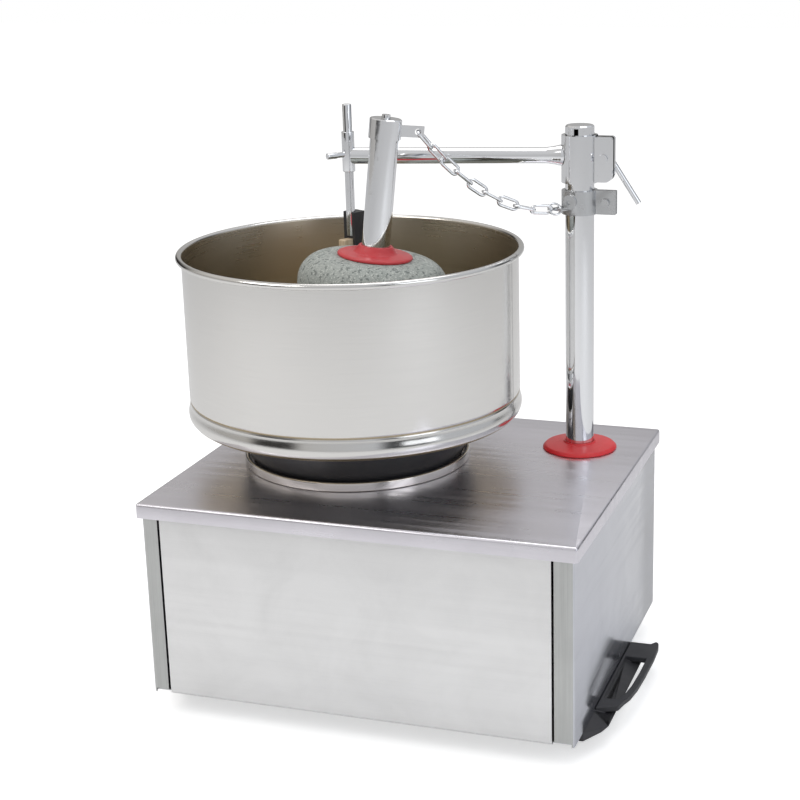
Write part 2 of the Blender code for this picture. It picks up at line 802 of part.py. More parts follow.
def handle(name, side):
    """A moulded side handle: a bar under the wall with a sloping face, and a curved grip."""
    wall = BODY_HALF_WIDTH
    outer = wall + HANDLE_FLARE
    bottom = -HANDLE_DROP
    section = [
        (wall - HANDLE_INNER, -GAP),
        (wall, -GAP),
        (outer, -HANDLE_LIP),
        (outer - HANDLE_UNDERCUT, bottom),
        (wall - HANDLE_INNER, bottom),
    ]
    section = [(side * x, z) for x, z in section]
    length = HANDLE_REAR - HANDLE_FRONT
    bar = plate_data(name, [section], length)
    bar.transform(Matrix.Rotation(math.pi / 2, 4, "X"))
    bar.transform(Matrix.Translation((0, HANDLE_FRONT + length / 2, BASE_LEVEL)))
    obj = add_part(name, bar, "black plastic")
    slope = HANDLE_CHAMFER / HANDLE_FLARE
    corner = [
        (wall - OVERRUN, HANDLE_FRONT - slope * OVERRUN),
        (outer + OVERRUN, HANDLE_FRONT - slope * OVERRUN),
        (outer + OVERRUN, HANDLE_FRONT + HANDLE_CHAMFER + slope * OVERRUN),
    ]
    corner_name = name + "_corner"
    corner_data = plate_data(corner_name, [[(side * x, y) for x, y in corner]], 4 * HANDLE_DROP)
    cut(obj, add_tool(corner_name, corner_data, location=(0, 0, BASE_LEVEL)))
    grip_name = name + "_grip"
    grip_length = HANDLE_REAR - GRIP_FRONT
    inner = wall + GAP
    outer_side = []
    for across, along in GRIP_OUTLINE_SHARES:
        outer_side.append((wall + across * GRIP_REACH, GRIP_FRONT + along * grip_length))
    loop = [(inner, GRIP_FRONT), *outer_side, (inner, HANDLE_REAR - GRIP_BAND)]
    finger = [(inner + GRIP_SHELF, FINGER_REAR), (inner + GRIP_SHELF, FINGER_FRONT)]
    for x, y in outer_side:
        if FINGER_FRONT < y < FINGER_REAR:
            finger.append((x - GRIP_BAND, y))
    finger.append((finger[-1][0], FINGER_REAR))
    loops = [[(side * x, y) for x, y in points] for points in (loop, finger)]
    grip_data = plate_data(grip_name, loops, GRIP_THICKNESS)
    grip_data.transform(Matrix.Translation((0, 0, BASE_LEVEL + GRIP_TOP - GRIP_THICKNESS / 2)))
    fuse(obj, add_tool(grip_name, grip_data))


def switch():
    """A rocker switch in the left side."""
    wall = -BODY_HALF_WIDTH
    level = BASE_LEVEL + SWITCH_HEIGHT
    pivot_place = (wall + ROCKER_PIVOT_DEPTH, SWITCH_Y, level)
    half_width = SWITCH_WIDTH / 2
    half_length = SWITCH_LENGTH / 2
    low = (wall + SHEET + GAP, SWITCH_Y - half_width, level - half_length)
    low = (wall - SWITCH_FLANGE_THICKNESS, low[1], low[2])
    high = (wall + SWITCH_DEPTH, SWITCH_Y + half_width, level + half_length)
    obj = add_part("switch_housing", box_data("switch_housing", low, high), "black plastic")
    flange_low = (
        wall - SWITCH_FLANGE_THICKNESS,
        SWITCH_Y - half_width - SWITCH_FLANGE,
        level - half_length - SWITCH_FLANGE,
    )
    flange_high = (wall - GAP, SWITCH_Y + half_width + SWITCH_FLANGE, level + half_length + SWITCH_FLANGE)
    fuse(obj, add_tool("switch_flange", box_data("switch_flange", flange_low, flange_high)))
    pocket_half_width = half_width - SWITCH_RIM
    pocket_half_length = half_length - SWITCH_RIM
    low = (wall - OVERRUN, SWITCH_Y - pocket_half_width, level - pocket_half_length)
    high = (wall + SWITCH_POCKET, SWITCH_Y + pocket_half_width, level + pocket_half_length)
    cut(obj, add_tool("switch_pocket", box_data("switch_pocket", low, high)))
    half_rocker = pocket_half_length - GAP - ROCKER_DIP / 2
    outline = [
        (ROCKER_BACK, -half_rocker / 2),
        (ROCKER_BACK, half_rocker / 2),
        (-ROCKER_FRONT / 2, half_rocker),
        (-ROCKER_FRONT, half_rocker - ROCKER_DIP),
        (-ROCKER_FRONT + ROCKER_DIP, 0),
        (-ROCKER_FRONT, -half_rocker + ROCKER_DIP),
        (-ROCKER_FRONT / 2, -half_rocker),
    ]
    data = plate_data("switch_rocker", [outline], 2 * (pocket_half_width - GAP))
    data.transform(Matrix.Rotation(math.pi / 2, 4, "X"))
    pivot = add_pivot("rocker_pivot", pivot_place)
    add_part("switch_rocker", data, "red nylon", parent=pivot, rotation=(0, ROCKER_TILT, 0))


def cable_gland():
    """A bushed hole for the mains lead, low at the back of the left side."""
    neck = SHEET + 2 * GAP
    profile = [
        (GLAND_NECK + GAP, GLAND_REACH),
        (GLAND_RADIUS, GLAND_REACH - GLAND_NUT),
        (GLAND_RADIUS, 0),
        (GLAND_NECK, 0),
        (GLAND_NECK, -neck),
        (GLAND_RADIUS, -neck),
        (GLAND_RADIUS, -neck - GLAND_NUT),
        (GLAND_BORE, -neck - GLAND_NUT),
        (GLAND_BORE, GLAND_REACH),
    ]
    place_gland = (-BODY_HALF_WIDTH - GAP, GLAND_Y, BASE_LEVEL + GLAND_HEIGHT)
    turned_part("cable_gland", profile, SMALL_STEPS, "black plastic", None, place_gland, (0, -math.pi / 2, 0))


def mount_plate():
    """A thick plate under the top plate that carries the housing and the motor."""
    top = PLATE_UNDERSIDE - GAP
    low = (MOUNT_X - MOUNT_WIDTH / 2, MOUNT_Y - MOUNT_DEPTH / 2, top - MOUNT_THICKNESS)
    high = (MOUNT_X + MOUNT_WIDTH / 2, MOUNT_Y + MOUNT_DEPTH / 2, top)
    obj = add_part("mount_plate", box_data("mount_plate", low, high), "grey paint")
    cut(obj, housing_hole("mount_plate_housing_hole"), post_hole("mount_plate_post_hole"))


def bearing_housing():
    """A flanged barrel that holds the spindle's two bearings."""
    seat = BEARING_RADIUS + GAP
    depth = BEARING_HEIGHT + GAP
    flange_top = -SHEET - GAP - MOUNT_THICKNESS - GAP
    bottom = HOUSING_RISE - HOUSING_LENGTH
    profile = [
        (HOUSING_RADIUS, HOUSING_RISE),
        (HOUSING_RADIUS, flange_top),
        (HOUSING_FLANGE_RADIUS, flange_top),
        (HOUSING_FLANGE_RADIUS, flange_top - HOUSING_FLANGE),
        (HOUSING_RADIUS, flange_top - 2 * HOUSING_FLANGE),
        (HOUSING_TIP_RADIUS, bottom),
        (seat, bottom),
        (seat, bottom + depth),
        (HOUSING_SHOULDER, bottom + depth),
        (HOUSING_SHOULDER, HOUSING_RISE - depth),
        (seat, HOUSING_RISE - depth),
        (seat, HOUSING_RISE),
    ]
    place_housing = (DRUM_X, DRUM_Y, PLATE_LEVEL)
    turned_part("bearing_housing", profile, DISC_STEPS, "grey paint", location=place_housing)
    inner = SPINDLE_RADIUS + GAP
    bearing = [
        (BEARING_RADIUS - BEARING_EDGE, BEARING_HEIGHT),
        (BEARING_RADIUS, BEARING_HEIGHT - BEARING_EDGE),
        (BEARING_RADIUS, BEARING_EDGE),
        (BEARING_RADIUS - BEARING_EDGE, 0),
        (inner, 0),
        (inner, BEARING_HEIGHT),
    ]
    upper = PLATE_LEVEL + HOUSING_RISE - BEARING_HEIGHT
    lower = PLATE_LEVEL + bottom
    turned_part("upper_bearing", bearing, TUBE_STEPS, "polished steel", location=(DRUM_X, DRUM_Y, upper))
    turned_part("lower_bearing", bearing, TUBE_STEPS, "polished steel", location=(DRUM_X, DRUM_Y, lower))


def spindle():
    """The shaft that carries the drum, from its pulley up into the turntable."""
    top = PLATE_LEVEL + HUB_CLEARANCE + HUB_BORE_DEPTH - GAP
    shoulder = PLATE_LEVEL + HOUSING_RISE - HOUSING_LENGTH - BEARING_HEIGHT
    bottom = BASE_LEVEL + PULLEY_LEVEL - PULLEY_WIDTH / 2 - 2 * PULLEY_HUB_RISE
    profile = [
        (0, top),
        (SPINDLE_RADIUS - BEARING_EDGE, top),
        (SPINDLE_RADIUS, top - BEARING_EDGE),
        (SPINDLE_RADIUS, shoulder),
        (SPINDLE_TAIL_RADIUS, shoulder),
        (SPINDLE_TAIL_RADIUS, bottom),
        (0, bottom),
    ]
    turned_part("spindle", profile, TUBE_STEPS, "zinc", location=(DRUM_X, DRUM_Y, 0))


def turntable():
    """A dished casting on the spindle that the drum stands on."""
    seat_top = DRUM_LIFT + FLOOR_RISE - GAP
    rim = TURNTABLE_RIM_HEIGHT
    bore = SPINDLE_RADIUS + GAP
    bore_top = HUB_CLEARANCE + HUB_BORE_DEPTH
    underside = seat_top - 2 * TURNTABLE_WALL
    profile = [
        (0, seat_top),
        (TURNTABLE_SEAT_RADIUS, seat_top),
        (TURNTABLE_SEAT_RADIUS + TURNTABLE_WALL / 2, seat_top - TURNTABLE_WALL / 2),
        (TURNTABLE_RADIUS - TURNTABLE_WALL / 2, rim + TURNTABLE_WALL / 2),
        (TURNTABLE_RADIUS, rim),
        (TURNTABLE_FOOT_RADIUS, TURNTABLE_CLEARANCE),
        (TURNTABLE_FOOT_RADIUS - TURNTABLE_WALL, TURNTABLE_CLEARANCE),
        (TURNTABLE_RADIUS - 2 * TURNTABLE_WALL, underside - TURNTABLE_WALL),
        (TURNTABLE_SEAT_RADIUS - TURNTABLE_WALL, underside),
        (HUB_RADIUS + TURNTABLE_WALL, underside),
        (HUB_RADIUS, HUB_CLEARANCE),
        (bore, HUB_CLEARANCE),
        (bore, bore_top),
        (0, bore_top),
    ]
    place_table = (DRUM_X, DRUM_Y, PLATE_LEVEL)
    turned_part("turntable", profile, DISC_STEPS, "black casting", location=place_table)


def seat_ring():
    """A polished ring on the top plate round the turntable's foot."""
    edge = SEAT_RING_WIDTH / 4
    inner = SEAT_RING_RADIUS - SEAT_RING_WIDTH
    profile = [
        (SEAT_RING_RADIUS - edge, SEAT_RING_HEIGHT),
        (SEAT_RING_RADIUS, SEAT_RING_HEIGHT - edge),
        (SEAT_RING_RADIUS, GAP),
        (inner, GAP),
        (inner, SEAT_RING_HEIGHT - edge),
        (inner + edge, SEAT_RING_HEIGHT),
    ]
    place_ring = (DRUM_X, DRUM_Y, PLATE_LEVEL)
    turned_part("seat_ring", profile, DRUM_STEPS, "polished steel", location=place_ring)


def drum_shell():
    """The spun steel drum: rolled rim, straight wall, pressed seam, and a foot lip round a raised floor."""
    inner = DRUM_RADIUS - DRUM_SHEET
    bead = (RIM_RADIUS - inner) / 2
    bead_centre = inner + bead
    bead_height = DRUM_HEIGHT - bead
    meet = -math.degrees(math.acos((DRUM_RADIUS - bead_centre) / bead))
    rim = arc(bead_centre, bead_height, bead, 180, meet, 9)
    half_seam = SEAM_WIDTH / 2
    outside = [
        (DRUM_RADIUS, SEAM_HEIGHT + half_seam),
        (DRUM_RADIUS - SEAM_DEPTH, SEAM_HEIGHT),
        (DRUM_RADIUS, SEAM_HEIGHT - half_seam),
        (DRUM_RADIUS + BULGE, BULGE_HEIGHT),
        (DRUM_RADIUS + BULGE / 2, FLOOR_RISE),
        (DRUM_RADIUS - LIP_WIDTH / 4, 0),
        (DRUM_RADIUS - LIP_WIDTH * 3 / 4, 0),
        (DRUM_RADIUS - LIP_WIDTH, FLOOR_RISE),
        (0, FLOOR_RISE),
    ]
    inside = [
        (0, DRUM_FLOOR),
        (inner - LIP_WIDTH, DRUM_FLOOR),
        (inner - LIP_WIDTH / 4, DRUM_FLOOR + LIP_WIDTH / 4),
        (inner, DRUM_FLOOR + LIP_WIDTH),
        (inner, SEAM_HEIGHT - half_seam),
        (inner - SEAM_DEPTH, SEAM_HEIGHT),
        (inner, SEAM_HEIGHT + half_seam),
    ]
    profile = inside + rim + outside
    place_drum = (DRUM_X, DRUM_Y, DRUM_LEVEL)
    turned_part("drum_shell", profile, DRUM_STEPS, "polished steel", location=place_drum)


def base_stone():
    """The granite floor of the drum, dished up a little at its edge."""
    radius = DRUM_RADIUS - DRUM_SHEET - SEAM_DEPTH - GAP
    foot = DRUM_FLOOR + GAP
    profile = [
        (0, BASE_STONE_TOP),
        (radius - BASE_STONE_EDGE_WIDTH, BASE_STONE_TOP),
        (radius - BASE_STONE_EDGE_WIDTH / 2, BASE_STONE_TOP + BASE_STONE_EDGE / 4),
        (radius - BASE_STONE_EDGE / 2, BASE_STONE_TOP + BASE_STONE_EDGE),
        (radius, BASE_STONE_TOP + BASE_STONE_EDGE),
        (radius, foot + LIP_WIDTH),
        (radius - LIP_WIDTH, foot),
        (0, foot),
    ]
    turned_part("base_stone", profile, DRUM_STEPS, "granite", location=(DRUM_X, DRUM_Y, DRUM_LEVEL))


def stone_pivot():
    """The leaning axis of the roller, with its origin at the middle of the roller's foot."""
    heel_radius = STONE_RADIUS - STONE_HEEL
    drop = heel_radius * math.sin(STONE_LEAN) + STONE_HEEL * (1 - math.cos(STONE_LEAN))
    height = DRUM_LEVEL + BASE_STONE_TOP + GAP + drop
    lean_axis = Vector((-math.sin(STONE_LEAN_HEADING), math.cos(STONE_LEAN_HEADING), 0))
    turn = Matrix.Rotation(STONE_LEAN, 3, lean_axis)
    foot = (DRUM_X + STONE_OFFSET_X, DRUM_Y + STONE_OFFSET_Y, height)
    return add_pivot("stone_pivot", foot, turn.to_euler())


def roller_stone(pivot):
    """The granite roller, with rounded shoulder and heel, and a recess for its lower bush."""
    shoulder = arc(STONE_RADIUS - STONE_SHOULDER, STONE_LENGTH - STONE_SHOULDER, STONE_SHOULDER, 90, 0, 8)
    heel = arc(STONE_RADIUS - STONE_HEEL, STONE_HEEL, STONE_HEEL, 0, -90, 5)
    profile = [
        (STONE_BORE, STONE_LENGTH),
        *shoulder,
        *heel,
        (STONE_RECESS_RADIUS, 0),
        (STONE_RECESS_RADIUS, STONE_RECESS),
        (STONE_BORE, STONE_RECESS),
    ]
    turned_part("roller_stone", profile, STONE_STEPS, "granite", parent=pivot)


def stone_bushes(pivot):
    """Two red bushes that let the roller turn on its axle."""
    bore = AXLE_RADIUS + GAP
    sleeve = STONE_BORE - GAP
    top = STONE_LENGTH
    profile = [
        (BUSH_HUB_RADIUS, top + BUSH_HUB_HEIGHT),
        (BUSH_HUB_RADIUS + BUSH_RIM, top + 2 * BUSH_DOME - BUSH_RIM / 2),
        (BUSH_HUB_RADIUS + 2 * BUSH_RIM, top + BUSH_DOME),
        (BUSH_RADIUS - BUSH_RIM, top + BUSH_DOME - BUSH_RIM / 4),
        (BUSH_RADIUS, top + BUSH_RIM),
        (BUSH_RADIUS, top + GAP),
        (sleeve, top + GAP),
        (sleeve, top - BUSH_SLEEVE),
        (bore, top - BUSH_SLEEVE),
        (bore, top + BUSH_HUB_HEIGHT),
    ]
    turned_part("stone_bush_top", profile, DISC_STEPS, "red nylon", parent=pivot)
    seat = STONE_RECESS - GAP
    lower = [
        (sleeve, STONE_RECESS + BUSH_SLEEVE),
        (sleeve, seat),
        (STONE_RECESS_RADIUS - GAP, seat),
        (STONE_RECESS_RADIUS - GAP, GAP),
        (bore, GAP),
        (bore, STONE_RECESS + BUSH_SLEEVE),
    ]
    turned_part("stone_bush_bottom", lower, TUBE_STEPS, "red nylon", parent=pivot)


def axle(pivot, lug_turn):
    """The fixed axle tube of the roller, and the cap on it with a lug for the chain."""
    tube = [
        (AXLE_RADIUS, AXLE_LENGTH - GAP),
        (AXLE_RADIUS, AXLE_LIFT),
        (AXLE_RADIUS - AXLE_WALL, AXLE_LIFT),
        (AXLE_RADIUS - AXLE_WALL, AXLE_LENGTH - GAP),
    ]
    turned_part("axle_tube", tube, TUBE_STEPS, "chrome", parent=pivot)
    bottom = AXLE_LENGTH - CAP_BORE_DEPTH
    top = bottom + CAP_LENGTH
    cap = [
        (0, top + CAP_NUB_HEIGHT),
        (CAP_NUB_RADIUS, top + CAP_NUB_HEIGHT),
        (CAP_NUB_RADIUS, top),
        (CAP_RADIUS - CAP_EDGE, top),
        (CAP_RADIUS, top - CAP_EDGE),
        (CAP_RADIUS, bottom),
        (AXLE_RADIUS + GAP, bottom),
        (AXLE_RADIUS + GAP, AXLE_LENGTH),
        (0, AXLE_LENGTH),
    ]
    obj = turned_part("axle_cap", cap, TUBE_STEPS, "chrome", pivot, rotation=(0, 0, lug_turn))
    middle = top - LUG_DROP
    low = ((AXLE_RADIUS + CAP_RADIUS) / 2, -LUG_THICKNESS / 2, middle - LUG_HEIGHT / 2)
    high = (LUG_REACH, LUG_THICKNESS / 2, middle + LUG_HEIGHT / 2)
    lug = add_tool("chain_lug", box_data("chain_lug", low, high), obj)
    start = (LUG_HOLE_REACH, -OVERRUN, middle)
    end = (LUG_HOLE_REACH, OVERRUN, middle)
    hole = add_tool("lug_hole", rod_data("lug_hole", start, end, LUG_HOLE_RADIUS, SMALL_STEPS), obj)
    fuse(obj, lug)
    cut(obj, hole)
    return Vector((LUG_HOLE_REACH, 0, middle))


def post():
    """The chromed post, closed at its top, with a small square window near it."""
    top = PLATE_LEVEL + POST_HEIGHT
    bottom = TRAY_FLOOR + GAP + POST_FOOT_BASE + GAP
    inner = POST_RADIUS - POST_WALL
    profile = [
        (0, top),
        (POST_RADIUS - POST_EDGE, top),
        (POST_RADIUS, top - POST_EDGE),
        (POST_RADIUS, bottom),
        (inner, bottom),
        (inner, top - POST_WALL),
        (0, top - POST_WALL),
    ]
    obj = turned_part("post_tube", profile, TUBE_STEPS, "chrome", location=(POST_X, POST_Y, 0))
    window_top = top - WINDOW_DROP + WINDOW_LENGTH / 2
    low = (POST_X - WINDOW_WIDTH / 2, POST_Y - POST_RADIUS - OVERRUN, window_top - WINDOW_LENGTH)
    high = (POST_X + WINDOW_WIDTH / 2, POST_Y, window_top)
    cut(obj, add_tool("post_window", box_data("post_window", low, high)))
    bore = POST_RADIUS + GAP
    rise = POST_BUSH_RISE
    bush = [
        (bore + POST_BUSH_COLLAR / 6, POST_BUSH_COLLAR),
        (bore + POST_BUSH_COLLAR / 4, rise + POST_BUSH_COLLAR / 8),
        ((bore + POST_BUSH_RADIUS) / 2, rise),
        (POST_BUSH_RADIUS - rise / 2, rise * 3 / 4),
        (POST_BUSH_RADIUS, rise / 4),
        (POST_BUSH_RADIUS, GAP),
        (bore, GAP),
        (bore, POST_BUSH_COLLAR),
    ]
    turned_part("post_bush", bush, DISC_STEPS, "red nylon", location=(POST_X, POST_Y, PLATE_LEVEL))
    foot = [
        (0, POST_FOOT_BASE),
        (bore, POST_FOOT_BASE),
        (bore, POST_FOOT_HEIGHT),
        (bore + POST_FOOT_WALL, POST_FOOT_HEIGHT),
        (bore + POST_FOOT_WALL, 2 * POST_FOOT_BASE),
        (POST_FOOT_RADIUS, POST_FOOT_BASE),
        (POST_FOOT_RADIUS, 0),
        (0, 0),
    ]
    turned_part("post_foot", foot, TUBE_STEPS, "grey paint", location=(POST_X, POST_Y, TRAY_FLOOR + GAP))


def chain_clamp(pivot):
    """A split clamp on the post with a boss in front and an eye plate for the chain's end ring."""
    half = CHAIN_CLAMP_HEIGHT / 2
    bore = POST_RADIUS + GAP
    profile = [(SLEEVE_RADIUS, half), (SLEEVE_RADIUS, -half), (bore, -half), (bore, half)]
    obj = turned_part("chain_clamp", profile, TUBE_STEPS, "zinc", pivot)
    middle = (bore + SLEEVE_RADIUS) / 2
    ear_low = (middle, -CHAIN_EAR_THICKNESS / 2, -half)
    ear_high = (CHAIN_EAR_REACH, CHAIN_EAR_THICKNESS / 2, half)
    ear = add_tool("chain_ear", box_data("chain_ear", ear_low, ear_high), pivot)
    start = (BOSS_X, -middle, BOSS_RISE)
    end = (BOSS_X, -BOSS_REACH, BOSS_RISE)
    boss = add_tool("chain_boss", rod_data("chain_boss", start, end, BOSS_RADIUS, SMALL_STEPS), pivot)
    eye_reach = math.hypot(EYE_X, EYE_Y)
    eye_low = (middle, -EYE_WIDTH / 2, -EYE_DROP - EYE_THICKNESS / 2)
    eye_high = (eye_reach + EYE_END, EYE_WIDTH / 2, -EYE_DROP + EYE_THICKNESS / 2)
    eye_turn = (0, 0, math.atan2(EYE_Y, EYE_X))
    eye = add_tool("chain_eye", box_data("chain_eye", eye_low, eye_high), pivot, rotation=eye_turn)
    fuse(obj, ear, boss, eye)
    slot_low = (0, -CLAMP_SLOT / 2, -half - OVERRUN)
    slot_high = (CHAIN_EAR_REACH + OVERRUN, CLAMP_SLOT / 2, half + OVERRUN)
    slot = add_tool("chain_clamp_slot", box_data("chain_clamp_slot", slot_low, slot_high), pivot)
    core_data = rod_data("chain_clamp_bore", (0, 0, -half - OVERRUN), (0, 0, half + OVERRUN), bore, TUBE_STEPS)
    core = add_tool("chain_clamp_bore", core_data, pivot)
    hole_start = (EYE_X, EYE_Y, -EYE_DROP - OVERRUN)
    hole_end = (EYE_X, EYE_Y, -EYE_DROP + OVERRUN)
    eye_hole = add_tool("eye_hole", rod_data("eye_hole", hole_start, hole_end, EYE_HOLE_RADIUS, SMALL_STEPS), pivot)
    socket_start = (BOSS_X, -BOSS_REACH - OVERRUN, BOSS_RISE)
    socket_end = (BOSS_X, -BOSS_REACH + BOSS_SOCKET_DEPTH, BOSS_RISE)
    socket_data = rod_data("boss_socket", socket_start, socket_end, BOSS_SOCKET_RADIUS, SMALL_STEPS)
    socket = add_tool("boss_socket", socket_data, pivot)
    bolt_half = CHAIN_EAR_THICKNESS / 2 + OVERRUN
    bolt_start = (CHAIN_BOLT_REACH, -bolt_half, 0)
    bolt_end = (CHAIN_BOLT_REACH, bolt_half, 0)
    bolt_hole_data = rod_data("ear_hole", bolt_start, bolt_end, CHAIN_BOLT_RADIUS + GAP, SMALL_STEPS)
    bolt_hole = add_tool("ear_hole", bolt_hole_data, pivot)
    cut(obj, slot, core, eye_hole, socket, bolt_hole)
    face = CHAIN_EAR_THICKNESS / 2 + GAP
    bolt = [
        (0, face + CHAIN_BOLT_HEAD),
        (CHAIN_BOLT_HEAD_RADIUS, face + CHAIN_BOLT_HEAD),
        (CHAIN_BOLT_HEAD_RADIUS, face),
        (CHAIN_BOLT_RADIUS, face),
        (CHAIN_BOLT_RADIUS, -face),
        (CHAIN_BOLT_HEAD_RADIUS, -face),
        (CHAIN_BOLT_HEAD_RADIUS, -face - CHAIN_BOLT_HEAD),
        (0, -face - CHAIN_BOLT_HEAD),
    ]
    place_bolt = (CHAIN_BOLT_REACH, 0, 0)
    turned_part("chain_clamp_bolt", bolt, 6, "zinc", pivot, place_bolt, (math.pi / 2, 0, 0))
    return Vector((EYE_X, EYE_Y, -EYE_DROP))


def link_outline():
    """The middle line of a chain link, two half rounds joined by straight sides."""
    radius = (LINK_WIDTH - LINK_WIRE) / 2
    half_straight = (LINK_INNER_LENGTH + LINK_WIRE) / 2 - radius
    points = []
    for start in (-90, 90):
        sign = 1 if start < 0 else -1
        for i in range(LINK_ARC_POINTS):
            angle = math.radians(start + 180 * i / (LINK_ARC_POINTS - 1))
            points.append((sign * half_straight + radius * math.cos(angle), radius * math.sin(angle), 0))
    return points


def ring_outline():
    """The middle line of the round ring at the chain's end."""
    radius = (RING_DIAMETER - RING_WIRE) / 2
    angles = [math.tau * i / RING_POINTS for i in range(RING_POINTS)]
    return [(radius * math.cos(angle), radius * math.sin(angle), 0) for angle in angles]


def wire_loop_data(name, points, wire):
    """A closed loop of round wire."""
    curve = bpy.data.curves.new(name, "CURVE")
    curve.dimensions = "3D"
    curve.bevel_depth = wire / 2
    curve.bevel_resolution = 2
    add_loop(curve, points)
    data = curve_mesh(curve, name)
    data.shade_smooth()
    return data


def chain_path(start, end, sag):
    """Where the links meet: steps of one link along a sagging line, then one of the ring."""
    def line(share):
        return start.lerp(end, share) - Vector((0, 0, 4 * sag * share * (1 - share)))

    steps = [LINK_INNER_LENGTH - LINK_PLAY] * LINK_COUNT + [RING_DIAMETER - 2 * RING_WIRE - LINK_PLAY]
    share = 0
    points = [line(share)]
    for step in steps:
        low = share
        high = share + 2 * step / (end - start).length
        for _ in range(SOLVER_STEPS):
            middle = (low + high) / 2
            if (line(middle) - points[-1]).length < step:
                low = middle
            else:
                high = middle
        share = high
        points.append(line(share))
    return points, share


def hung_chain(start, end):
    """The meeting points of a chain that just reaches its end. More sag uses up more chain."""
    low = 0
    high = SAG_LIMIT_SHARE * (end - start).length
    for _ in range(SOLVER_STEPS):
        sag = (low + high) / 2
        points, share = chain_path(start, end, sag)
        if share > 1:
            low = sag
        else:
            high = sag
    return points


def chain(lug_hole, eye_hole):
    """Nine oval links and a ring, each turned against the next, hung from the lug to the eye plate."""
    across = (eye_hole - lug_hole).normalized()
    start = lug_hole + across * LINK_WIRE / 2
    end = eye_hole - across * RING_WIRE / 2
    meets = hung_chain(start, end)
    pivot = add_pivot("chain_pivot", lug_hole)
    link_data = wire_loop_data("chain_link", link_outline(), LINK_WIRE)
    ring_data = wire_loop_data("chain_ring", ring_outline(), RING_WIRE)
    for i, (here, there) in enumerate(zip(meets, meets[1:])):
        along = (there - here).normalized()
        level = Vector((0, 0, 1)).cross(along).normalized()
        upright = along.cross(level)
        twist = max(FIRST_TWIST - i * TWIST_STEP, 0)
        twist = min(twist, LAST_TWIST + (LINK_COUNT - i) * TWIST_STEP)
        roll = twist + (math.pi / 2 if i % 2 else 0)
        wide = upright * math.cos(roll) + level * math.sin(roll)
        flat = along.cross(wide)
        turn = Matrix((along, wide, flat)).transposed()
        name = f"chain_link_{i + 1}" if i < LINK_COUNT else "chain_ring"
        data = link_data.copy() if i < LINK_COUNT else ring_data
        middle = (here + there) / 2 - lug_hole
        add_part(name, data, "chrome", pivot, middle, turn.to_euler())
    bpy.data.meshes.remove(link_data)


def arm_clamp(pivot):
    """A split clamp whose two ears are pinched by the lever bolt."""
    bore = POST_RADIUS + GAP
    profile = [
        (SLEEVE_RADIUS, ARM_CLAMP_TOP),
        (SLEEVE_RADIUS, -ARM_CLAMP_BOTTOM),
        (bore, -ARM_CLAMP_BOTTOM),
        (bore, ARM_CLAMP_TOP),
    ]
    obj = turned_part("arm_clamp", profile, TUBE_STEPS, "chrome", pivot)
    middle = (bore + SLEEVE_RADIUS) / 2
    corners = [(middle, -EAR_BOTTOM), (EAR_REACH, -EAR_BOTTOM), (EAR_REACH, EAR_TOP), (middle, EAR_TOP)]
    outline = rounded_corners(corners, (0, EAR_LOWER_CORNER, EAR_CORNER, 0))
    ear_data = plate_data("arm_ear", [outline], EAR_THICKNESS)
    ear_data.transform(Matrix.Rotation(math.pi / 2, 4, "X"))
    fuse(obj, add_tool("arm_ear", ear_data, pivot))
    slot_low = (0, -EAR_SLOT / 2, -ARM_CLAMP_BOTTOM - OVERRUN)
    slot_high = (EAR_REACH + OVERRUN, EAR_SLOT / 2, ARM_CLAMP_TOP + OVERRUN)
    slot = add_tool("arm_clamp_slot", box_data("arm_clamp_slot", slot_low, slot_high), pivot)
    core_ends = ((0, 0, -ARM_CLAMP_BOTTOM - OVERRUN), (0, 0, ARM_CLAMP_TOP + OVERRUN))
    core = add_tool("arm_clamp_bore", rod_data("arm_clamp_bore", *core_ends, bore, TUBE_STEPS), pivot)
    half = EAR_THICKNESS / 2 + OVERRUN
    hole_start = (LEVER_BOLT_REACH, -half, -LEVER_BOLT_DROP)
    hole_end = (LEVER_BOLT_REACH, half, -LEVER_BOLT_DROP)
    hole_data = rod_data("lever_hole", hole_start, hole_end, LEVER_BOLT_RADIUS + GAP, SMALL_STEPS)
    cut(obj, slot, core, add_tool("lever_hole", hole_data, pivot))


def clamp_lever(pivot):
    """The bolt through the ears, its hub behind them and its slanting lever."""
    face = EAR_THICKNESS / 2 + GAP
    profile = [
        (0, face + LEVER_HUB_LENGTH),
        (LEVER_HUB_RADIUS, face + LEVER_HUB_LENGTH),
        (LEVER_HUB_RADIUS, face),
        (LEVER_BOLT_RADIUS, face),
        (LEVER_BOLT_RADIUS, -face),
        (LEVER_HEAD_RADIUS, -face),
        (LEVER_HEAD_RADIUS, -face - LEVER_HEAD),
        (0, -face - LEVER_HEAD),
    ]
    place_bolt = (LEVER_BOLT_REACH, 0, -LEVER_BOLT_DROP)
    turn = (-math.pi / 2, 0, 0)
    obj = turned_part("clamp_lever", profile, SMALL_STEPS, "chrome", pivot, place_bolt, turn)
    level = face + LEVER_HUB_LENGTH - LEVER_HUB_RADIUS
    start = (0, 0, level)
    end = (LEVER_SPREAD, LEVER_DROP, level)
    lever = add_tool("lever_bar", rod_data("lever_bar", start, end, LEVER_RADIUS, SMALL_STEPS), obj)
    fuse(obj, lever)


